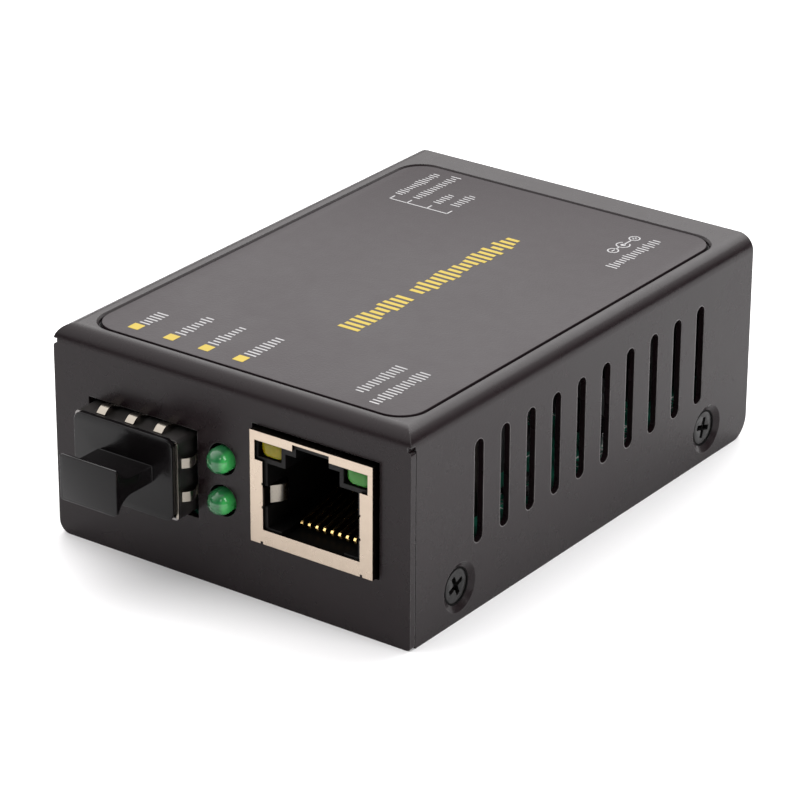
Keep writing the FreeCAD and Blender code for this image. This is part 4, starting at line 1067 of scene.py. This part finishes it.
@dataclass
class FibrePort(Assembly):
    """The plug with moulded edges, and the springs and rim of the cage's mouth.

    Attributes:
        rise: Height of a spring's bow.
        width: Width of a spring.
        skin: Thickness of its sheet.
        pitch: Distance between springs.
        steps: Segments in a bow.
        band: Depth and thickness of the band behind the springs.
        lip: X and Z of the lip on the handle's end, from the plug's middle.
        lip_depth: How far the lip reaches back.
        rim: Width, depth and end margin of the pale rim beside the plug.
        inset: How far inside the band's box the springs lie.
        reach: Where the springs start and end, from the cage and from the cover.
    """

    rise: float = 0.6
    width: float = 1.15
    skin: float = 0.12
    pitch: float = 3.95
    steps: int = 14
    band: Flat = (1.2, 0.15)
    lip: tuple[Flat, Flat] = ((-3.78, -2.64), (3.78, 2.7))
    lip_depth: float = 0.4
    rim: Point = (0.34, 0.14, 0.35)
    inset: float = 0.3
    reach: float = 0.6

    def build(self) -> None:
        """Replaces the plug and the springs, and adds the lip and the rim."""
        low, high = box_mm("dust_plug")
        middle, front = (low + high) / 2, low.y + 0.02
        lip = rounded_box(*((middle.x + x, middle.z + z) for x, z in self.lip),
                          (0.25,) * 4, 4)
        self.add("plug_moulding", softened("dust_plug", 0.14), PLUG, "plug_black",
                 "dust_plug", "plug")
        self.add("plug_lip", prismatic(lip, front, front + self.lip_depth, True, 0.1),
                 PLUG, "plug_black", body="plug")
        (wide, deep, margin), gap = self.rim, 0.02
        left, back = high.x + gap, box_mm("sfp_cage")[0].y + gap
        rim = slab((left, back - deep, low.z + margin),
                   (left + wide, back, high.z - margin))
        self.add("cage_mouth", rim, SPRING, "bright_steel")
        self.add("spring_bows", self._springs(), SPRING, "bright_steel",
                 "cage_springs")

    def _springs(self) -> list[Mesh]:
        """Bows the springs and lays the band that they end in.

        Returns:
            One mesh for every spring and for every side of the band.
        """
        cage_low, cage_high = box_mm("sfp_cage")
        band_low, band_high = box_mm("cage_springs")
        middle = (band_low + band_high) / 2
        top = band_high.z - self.inset
        foot = top - (middle.z - (band_low.z + self.inset)) * 2
        left, right = cage_low.x, cage_high.x
        start, end = (box_mm(node)[0].y + self.reach
                      for node in ("sfp_cage", "top_cover"))
        bows = [bend(self.rise, start, end, i / self.steps)
                for i in range(self.steps + 1)]
        strips = []
        for i in (-1, 0, 1):
            x = middle.x + self.pitch * i
            strips += [([(x, y, level + h * way) for y, h in bows], (1, 0, 0),
                        (0, 0, way)) for level, way in ((top, 1), (foot, -1))]
        for i in (-0.5, 0.5):
            z = middle.z + self.pitch * i
            strips += [([(side + h * way, y, z) for y, h in bows], (0, 0, 1),
                        (way, 0, 0)) for side, way in ((left, -1), (right, 1))]
        springs = [ribbon(path, across, self.width, self.skin, away)
                   for path, across, away in strips]
        (depth, skin), far = self.band, band_high.y
        near = far - depth
        return springs + [
            slab((left, near, top), (right, far, top + skin)),
            slab((left, near, foot - skin), (right, far, foot)),
            slab((left - skin, near, foot), (left, far, top)),
            slab((right, near, foot), (right + skin, far, top))]


@dataclass
class NetworkJack(Assembly):
    """The jack's bright front, side springs, contacts and lenses.

    Attributes:
        skin: Thickness of the bright front.
        mouth: Half the width of the mouth.
        window: Half the width over both windows.
        key: Half the width of the keyway.
        levels: Heights above the foot of sill, shoulder and head.
        cap: Height of the bar over the windows.
        notch: Width and height of the notch beside the sill.
        pips: Heights above the foot of the catches beside the mouth.
        catch: Half the width and the height of a catch.
        tab: Height above the foot, width, rise and sheet of a side spring.
        tab_reach: Where a side spring starts and ends behind the front.
        tab_edge: Distance of its ends from the jack's middle.
        tab_steps: Segments in its bow.
        contacts: How many contacts there are.
        run: Height at which the contacts run forwards.
        rows: Distance of each row of leads from the rear of the contacts.
        wire: Width and thickness of a contact.
        curl: Radius of a contact's tip.
    """

    skin: float = 0.05
    mouth: float = 6.375
    window: float = 7.4
    key: float = 2.4
    levels: Point = (1.7, 9.7, 12.0)
    cap: float = 0.3
    notch: Flat = (0.34, 0.28)
    pips: Flat = (4.2, 6.95)
    catch: Flat = (0.12, 0.26)
    tab: tuple[float, float, float, float] = (5.6, 2.0, 1.15, 0.1)
    tab_reach: Flat = (0.3, 4.2)
    tab_edge: float = 6.35
    tab_steps: int = 18
    contacts: int = 8
    run: float = 8.86
    rows: Flat = (2.77, 0.23)
    wire: Flat = (0.3, 0.2)
    curl: float = 0.42

    def build(self) -> None:
        """Adds the front and the springs, and replaces contacts and lenses."""
        low, high = box_mm("jack_shield")
        foot = box_mm("jack_housing")[0].z
        self._front(low, high, foot)
        self._tabs((low.x + high.x) / 2, low.y, foot)
        self._wires((low.x + high.x) / 2)
        self._lenses()

    def _front(self, low: Vector, high: Vector, foot: float) -> None:
        """Adds the bright plate with its openings, and the catches.

        Args:
            low: Lowest corner of the shield.
            high: Highest corner of the shield.
            foot: Height of the housing's foot.
        """
        x, half, top = (low.x + high.x) / 2, (high.x - low.x) / 2, high.z
        mouth, near, far = self.mouth, low.y - self.skin, low.y
        sill, shoulder, head = (foot + level for level in self.levels)
        cap, (notch, clear) = top - self.cap, self.notch
        spans = [(-mouth, mouth, foot, sill), (-half, half, cap, top)]
        for a, c, b, e in ((mouth + notch, half, foot, sill),
                           (mouth, mouth + notch, foot + clear, sill),
                           (mouth, half, sill, shoulder),
                           (self.window, half, shoulder, head),
                           (self.key, half, head, cap)):
            spans += [(a, c, b, e), (-c, -a, b, e)]
        plates = [slab((x + a, near, b), (x + c, far, e)) for a, c, b, e in spans]
        self.add("jack_front", plates, TIN, "bright_steel")
        wide, tall = self.catch
        pips = [slab((edge - wide, near - 0.02, foot + level),
                     (edge + wide, far, foot + level + tall), 0.1)
                for edge in (x - mouth, x + mouth) for level in self.pips]
        self.add("jack_pips", pips, SHADE, "housing_grey")

    def _tabs(self, x: float, front: float, foot: float) -> None:
        """Adds the two springs inside the mouth.

        Args:
            x: Middle of the jack.
            front: Y of the shield's front.
            foot: Height of the housing's foot.
        """
        (height, width, rise, skin), (start, end) = self.tab, self.tab_reach
        bow = [bend(rise, front + start, front + end, i / self.tab_steps, 0.6, True)
               for i in range(self.tab_steps + 1)]
        tabs = [ribbon([(x + (self.tab_edge - h) * side, y, foot + height)
                        for y, h in bow], (0, 0, 1), width, skin, (-side, 0, 0))
                for side in (-1, 1)]
        self.add("jack_side_springs", tabs, SPRING, "bright_steel")

    def _wires(self, x: float) -> None:
        """Replaces the contacts with bent wires.

        Args:
            x: Middle of the jack.
        """
        low, high = box_mm("jack_contacts")
        front = low.y + 0.5
        wires = []
        for i in range(self.contacts):
            place, row = x + (i - (self.contacts - 1) / 2), high.y - self.rows[i % 2]
            path = [(row, low.z), (row, self.run), (front, self.run)]
            for j in range(1, 8):
                angle = -math.pi / 2 - math.pi * j / 8
                path.append((front + self.curl * math.cos(angle),
                             self.run + self.curl * (1 + math.sin(angle))))
            path += [(front + 0.45, self.run + 0.9), (front + 6.55, self.run + 2.3)]
            wires.append(ribbon([(place, y, z) for y, z in path], (1, 0, 0),
                                *self.wire, (0, 0, 1)))
        self.add("jack_wires", wires, GOLD, "contact_gold", "jack_contacts")

    def _lenses(self) -> None:
        """Replaces both lenses with domed ones."""
        for node, finish, slot in (("jack_lamp_left", LENS_AMBER, "lens_amber"),
                                   ("jack_lamp_right", LENS_GREEN, "lens_green")):
            low, high = box_mm(node)
            outline = rounded_box((low.x + 0.12, low.z), (high.x - 0.02, high.z),
                                  (0.9, 0.5, 0.0, 0.0))
            self.add(f"{node}_lens", domed(outline, low.y + 0.2, high.y, 0.5), finish,
                     slot, node)


@dataclass
class VentEdges(Assembly):
    """A thin lighter ring round each vent in the sides, a painted rim highlight.

    Attributes:
        count: Vents in each side.
        pitch: Distance between vents.
        middle: Middle of the row.
        span: Lowest and highest point of a vent.
        radius: Half the width of a vent.
        lip: Width of the edge.
    """

    count: int = 10
    pitch: float = 4.865
    middle: float = 0.55
    span: Flat = (7.87, 20.07)
    radius: float = 0.91
    lip: float = 0.06

    def build(self) -> None:
        """Adds the edges of both sides."""
        low, high = box_mm("top_cover")
        half = (self.span[1] - self.span[0]) / 2
        places = [self.middle + (i - (self.count - 1) / 2) * self.pitch
                  for i in range(self.count)]
        rings = [hoop(x - 0.01 * way, y, self.span[0] + half,
                      (self.radius - self.lip, self.radius + 0.01), 0.08 * way,
                      half - self.radius)
                 for x, way in ((low.x, -1), (high.x, 1)) for y in places]
        self.add("vent_edges", rings, RIM_HIGHLIGHT, "case_black")


@dataclass
class SideScrews(Assembly):
    """The side screws with a painted highlight on their edges, and a dark ring of
    painted shadow round each head.

    Attributes:
        inset: Distance from the outermost point of the heads to a screw's middle.
        joint: Inner and outer radius of the dark ring round a head, painted shadow.
        turns: Angle of each screw, by whether it is right and whether it is behind.
    """

    inset: float = 2.07
    joint: Flat = (1.95, 2.31)
    turns: dict[tuple[bool, bool], float] = field(default_factory=lambda: {
        (True, False): 24.0, (True, True): -16.0,
        (False, False): 52.0, (False, True): 9.0})

    def build(self) -> None:
        """Replaces the screws, each at its own angle, and adds the dark rings, painted
        shadow round the heads.
        """
        low, high = box_mm("cover_screws")
        middle, rows = (low + high) / 2, (low.y + self.inset, high.y - self.inset)
        mesh = softened("cover_screws", 0.07, 2)
        for vertex in mesh.vertices:
            side = (vertex.co.x > middle.x * MM, vertex.co.y > middle.y * MM)
            centre = Vector((0.0, rows[side[1]], middle.z)) * MM
            turn = Matrix.Rotation(math.radians(self.turns[side]), 3, "X")
            vertex.co = turn @ (vertex.co - centre) + centre
        self.add("screw_heads", mesh, OXIDE, "screw_black", "cover_screws")
        # Near-black rings round the heads: painted shadow in the gap between head and
        # dimple.
        rings = [hoop(x + 0.07 * way, y, middle.z, self.joint, 0.08 * way)
                 for x, way in ((high.x, 1), (low.x, -1)) for y in rows]
        self.add("screw_joints", rings, SHADE, "case_black")


@dataclass
class StatusLamps(Assembly):
    """Resin lamps, with the cup that shows through them.

    Attributes:
        names: The lamps' nodes.
        radius: Radius of the dome.
        rim: Radius and length of the rim behind it.
        cup: Distance from the tip of the dome to the cup.
        steps: Segments from the tip to the side of the dome.
    """

    names: tuple[str, ...] = ("upper_lamp", "lower_lamp")
    radius: float = 1.5
    rim: Flat = (1.75, 0.9)
    cup: float = 1.7
    steps: int = 14

    def build(self) -> None:
        """Adds the cups and the domes."""
        for name in self.names:
            low, high = box_mm(name)
            middle, front, rear = (low + high) / 2, low.y, high.y
            radius, (rim, length) = self.radius, self.rim
            angles = [math.pi / 2 * i / self.steps for i in range(1, self.steps + 1)]
            step, cup = rear - length, front + self.cup
            dome = [(0.0, front), *((radius * math.sin(a),
                                     front + radius * (1 - math.cos(a)))
                                    for a in angles),
                    (radius, step - 0.15), (radius + 0.02, step), (rim - 0.08, step),
                    (rim, step + 0.08), (rim, rear - 0.06), (rim - 0.06, rear),
                    (0.0, rear)]
            self.add(f"{name}_resin", turned(dome, middle.x, middle.z, 40), LAMP_GREEN,
                     "lamp_green", name)
            core = [(0.0, cup + 0.35), (0.35, cup + 0.35), (0.62, cup), (0.78, cup),
                    (0.55, cup + 0.9), (0.3, rear - 0.3), (0.0, rear - 0.3)]
            self.add(f"{name}_cup", turned(core, middle.x, middle.z, 24), LAMP_CORE,
                     "lamp_green")


@dataclass
class BoardDressing(Assembly):
    """The leads of the flat chips, the solder pads and the print on the board.

    Attributes:
        lead: Width of a lead, and how far it reaches out of its chip.
        inset: How far the row of leads stays from a chip's corner.
        print: Width and thickness of a printed line.
        chips: Node, pitch of the leads and number of sides that have them.
        pad: Length, width and pitch of the solder pads.
        pads: Distance from the board's right edge, start and count of each pad row.
        frames: Node and margin of each printed outline.
        lanes: Distance from the right edge, start and length of each printed line.
    """

    lead: Flat = (0.24, 0.75)
    inset: float = 0.55
    print: Flat = (0.16, 0.03)
    chips: tuple[tuple[str, float, int], ...] = (
        ("converter_chip", 0.5, 4), ("memory_chip", 0.65, 2))
    pad: Point = (0.85, 0.42, 0.9)
    pads: tuple[tuple[float, float, int], ...] = (
        (2.6, -11.6, 9), (1.4, 2.0, 12), (4.9, 12.2, 6), (1.6, 20.4, 5))
    frames: tuple[tuple[str, float], ...] = (
        ("converter_chip", 1.3), ("memory_chip", 1.2), ("power_inductor", 0.5),
        ("voltage_regulator", 0.7))
    lanes: tuple[Point, ...] = (
        (1.55, -12.4, 9.2), (3.9, -12.4, 9.2), (0.7, 1.2, 12.4), (2.3, 1.2, 12.4),
        (0.9, 19.6, 5.2), (2.4, 19.6, 5.2))

    def build(self) -> None:
        """Dresses the board."""
        top = box_mm("circuit_board")[1]
        tree = TickTree(self.paints.get(LEAD))
        leads = [mesh for chip in self.chips
                 for mesh in self._leads(tree, *chip, top.z)]
        leads += [tree.mesh(TickRow(top.x - edge, (y, y + count * self.pad[2]),
                                    *self.pad, 1, 0.8), top.z, 0.05)
                  for edge, y, count in self.pads]
        self.add("board_leads", leads, LEAD, "bright_steel")
        self.add("board_print", self._print(top), SILK, "board_green")

    def _leads(self, tree: TickTree, node: str, pitch: float, sides: int,
               level: float) -> list[Mesh]:
        """Lays a chip's leads along its sides.

        Args:
            tree: The tree that lays a row.
            node: The chip.
            pitch: Distance between leads.
            sides: 2 for the left and right side only, 4 for all.
            level: Height of the board.

        Returns:
            One mesh for every row of feet and of knees.
        """
        low, high = box_mm(node)
        middle, half = (low + high) / 2, (high - low) / 2
        width, foot = self.lead
        meshes = []
        for side in range(sides):
            quarter = side % 2 if sides == 4 else 0
            out, along = (half.y, half.x) if quarter else (half.x, half.y)
            way = 1 if side < sides / 2 else -1
            ends = (self.inset - along, along - self.inset)
            for reach, rise in ((foot, 0.12), (foot * 0.4, 0.55)):
                row = TickRow(way * (out + reach / 2 - 0.05), ends, reach, width,
                              pitch, 1, 1.0)
                mesh = tree.mesh(row, level, rise)
                mesh.transform(Matrix.Rotation(math.radians(90 * quarter), 4, "Z"))
                mesh.transform(Matrix.Translation(Vector((middle.x, middle.y, 0)) * MM))
                meshes.append(mesh)
        return meshes

    def _print(self, board: Vector) -> list[Mesh]:
        """Prints outlines round the larger parts and lines near the right edge.

        Args:
            board: Highest corner of the board.

        Returns:
            The printed lines.
        """
        wide, skin = self.print
        lines: list[tuple[float, float, float, float]] = []
        for node, gap in self.frames:
            low, high = box_mm(node)
            x0, y0, x1, y1 = low.x - gap, low.y - gap, high.x + gap, high.y + gap
            lines += [(x0, y0, x1, y0 + wide), (x0, y1 - wide, x1, y1),
                      (x0, y0, x0 + wide, y1), (x1 - wide, y0, x1, y1)]
        for inset, start, length in self.lanes:
            x = board.x - inset
            lines.append((x, start, x + wide, start + length))
            lines += [(x - 0.6, y, x + wide, y + wide)
                      for y in (start, start + length - wide)]
        return [slab((x0, y0, board.z), (x1, y1, board.z + skin))
                for x0, y0, x1, y1 in lines]


# Studio -------------------------------------------------------------------------------


@dataclass(frozen=True)
class SoftBox:
    """A rectangular studio light.

    Attributes:
        name: Name of the light.
        place: Where it stands, in metres.
        aim: The point that it faces, in metres.
        size: Width and height, in metres.
        power: Power in watts.
    """

    name: str
    place: Point
    aim: Point
    size: Flat
    power: float


@dataclass
class Studio:
    """A pale floor, a white surround, soft lights and the camera.

    Attributes:
        azimuth: Camera's angle round the object, in degrees.
        elevation: Camera's angle above the horizon, in degrees.
        roll: Camera's roll, in degrees.
        distance: Distance from the camera to its aim, in metres.
        shift: Offset of the camera to its right and upwards, in metres.
        aim: Height of the point that it faces, in metres.
        lens: Focal length on a 36 mm sensor.
        sky: Brightness of the surround behind the camera and beyond the object.
        sky_turn: Angle by which its bright side is turned to the left, in degrees.
        sky_range: Where the surround starts and stops brightening.
        sky_tilt: How far the bright side reaches over the top.
        wall: Heights between which the dark walls give way to light.
        wall_share: Share of light left at the foot of the walls.
        reach: Half the width of the floor.
        lights: The lights.
    """

    azimuth: float = 35.868
    elevation: float = 24.550
    roll: float = 0.255
    distance: float = 0.432584
    shift: Flat = (-0.001420, -0.000791)
    aim: float = 0.011
    lens: float = 172.04
    sky: Flat = (0.05, 2.5)
    sky_turn: float = 24.0
    sky_range: Flat = (-0.5, 0.7)
    sky_tilt: float = 0.3
    wall: Flat = (0.06, 0.46)
    wall_share: float = 0.1
    reach: float = 3000.0
    lights: tuple[SoftBox, ...] = (
        SoftBox("behind", (-0.15, 0.55, 0.75), (0.0, 0.0, 0.0), (1.1, 0.7), 5.4),
        SoftBox("right_fill", (0.75, 0.0, 0.5), (0.05, 0.0, 0.0), (0.5, 0.5), 4.4),
        SoftBox("spark", (0.45, -0.66, 0.58), (0.0, 0.0, 0.01), (0.2, 0.2), 0.55))

    def build(self) -> None:
        """Sets everything that isn't the object."""
        scene = bpy.context.scene
        scene.view_settings.view_transform = "Standard"
        scene.view_settings.look = "None"
        scene.world = self._world()
        self._floor()
        for box in self.lights:
            self._light(box)
        scene.camera = self._camera()

    def _world(self) -> bpy.types.World:
        """Makes the surround, brighter on the far side, with dark walls.

        Returns:
            The world.
        """
        world = bpy.data.worlds.new("surround")
        world.use_nodes = True
        graph = Graph(world.node_tree)
        sky = graph.find("BACKGROUND")
        turn = math.radians(self.azimuth + self.sky_turn)
        way = graph.add("ShaderNodeTexCoord", out="Generated")
        away = graph.add("ShaderNodeVectorMath", {
            0: way, 1: (-math.sin(turn), math.cos(turn), self.sky_tilt)}, "Value",
            operation="DOT_PRODUCT")
        ramp = graph.span(away, self.sky_range, self.sky, "SMOOTHSTEP")
        height = graph.add("ShaderNodeSeparateXYZ", {0: way}, "Z")
        wall = graph.span(height, self.wall, (self.wall_share, 1.0), "SMOOTHSTEP")
        both = graph.add("ShaderNodeMath", {0: ramp, 1: wall}, operation="MULTIPLY")
        graph.feed(sky, {"Color": (1.0, 0.985, 0.985, 1.0), "Strength": both})
        return world

    def _floor(self) -> None:
        """Lays the pale floor."""
        wide = self.reach
        mesh = slab((-wide, -wide, -2.0), (wide, wide, 0.0))
        material = bpy.data.materials.new("floor_white")
        material.use_nodes = True
        graph = Graph(material.node_tree)
        shader = graph.find("BSDF_PRINCIPLED")
        graph.feed(shader, {"Base Color": (0.93, 0.93, 0.935, 1.0), "Roughness": 0.6,
                            "Specular IOR Level": 0.2})
        mesh.materials.append(material)
        linked("floor", mesh)

    @staticmethod
    def _light(box: SoftBox) -> None:
        """Adds a light.

        Args:
            box: The light.
        """
        data = bpy.data.lights.new(box.name, "AREA")
        data.shape = "RECTANGLE"
        data.size, data.size_y = box.size
        data.energy = box.power
        light = linked(box.name, data)
        light.location = box.place
        facing = Vector(box.aim) - Vector(box.place)
        light.rotation_mode = "QUATERNION"
        light.rotation_quaternion = facing.to_track_quat("-Z", "Y")

    def _camera(self) -> bpy.types.Object:
        """Adds the camera.

        Returns:
            The camera.
        """
        a, e = math.radians(self.azimuth), math.radians(self.elevation)
        turn = math.radians(self.roll)
        back = Vector((math.sin(a) * math.cos(e), -math.cos(a) * math.cos(e),
                       math.sin(e)))
        right = Vector((math.cos(a), math.sin(a), 0.0))
        up = back.cross(right)
        right, up = (right * math.cos(turn) + up * math.sin(turn),
                     up * math.cos(turn) - right * math.sin(turn))
        place = (back * self.distance + right * self.shift[0] + up * self.shift[1]
                 + Vector((0.0, 0.0, self.aim)))
        data = bpy.data.cameras.new("camera")
        data.lens, data.sensor_width = self.lens, 36.0
        data.clip_start, data.clip_end = 0.01, 20.0
        camera = linked("camera", data)
        camera.matrix_world = (Matrix.Translation(place)
                               @ Matrix((right, up, back)).transposed().to_4x4())
        return camera


def main() -> None:
    """Builds the whole scene."""
    logging.basicConfig(level=logging.INFO, format="%(message)s")
    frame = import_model()
    paints = Paintbox()
    for finish, names in NODE_FINISHES.items():
        for name in names:
            for slot in frame["nodes"][name].material_slots:
                slot.material = paints.get(finish)
            log.info("node %s in %s", name, finish.name)
    for assembly in (Label, FibrePort, NetworkJack, VentEdges, SideScrews,
                     StatusLamps, BoardDressing):
        assembly(paints).build()
        log.info("%s built", assembly.__name__)
    Studio().build()


if __name__ == "__main__":
    main()
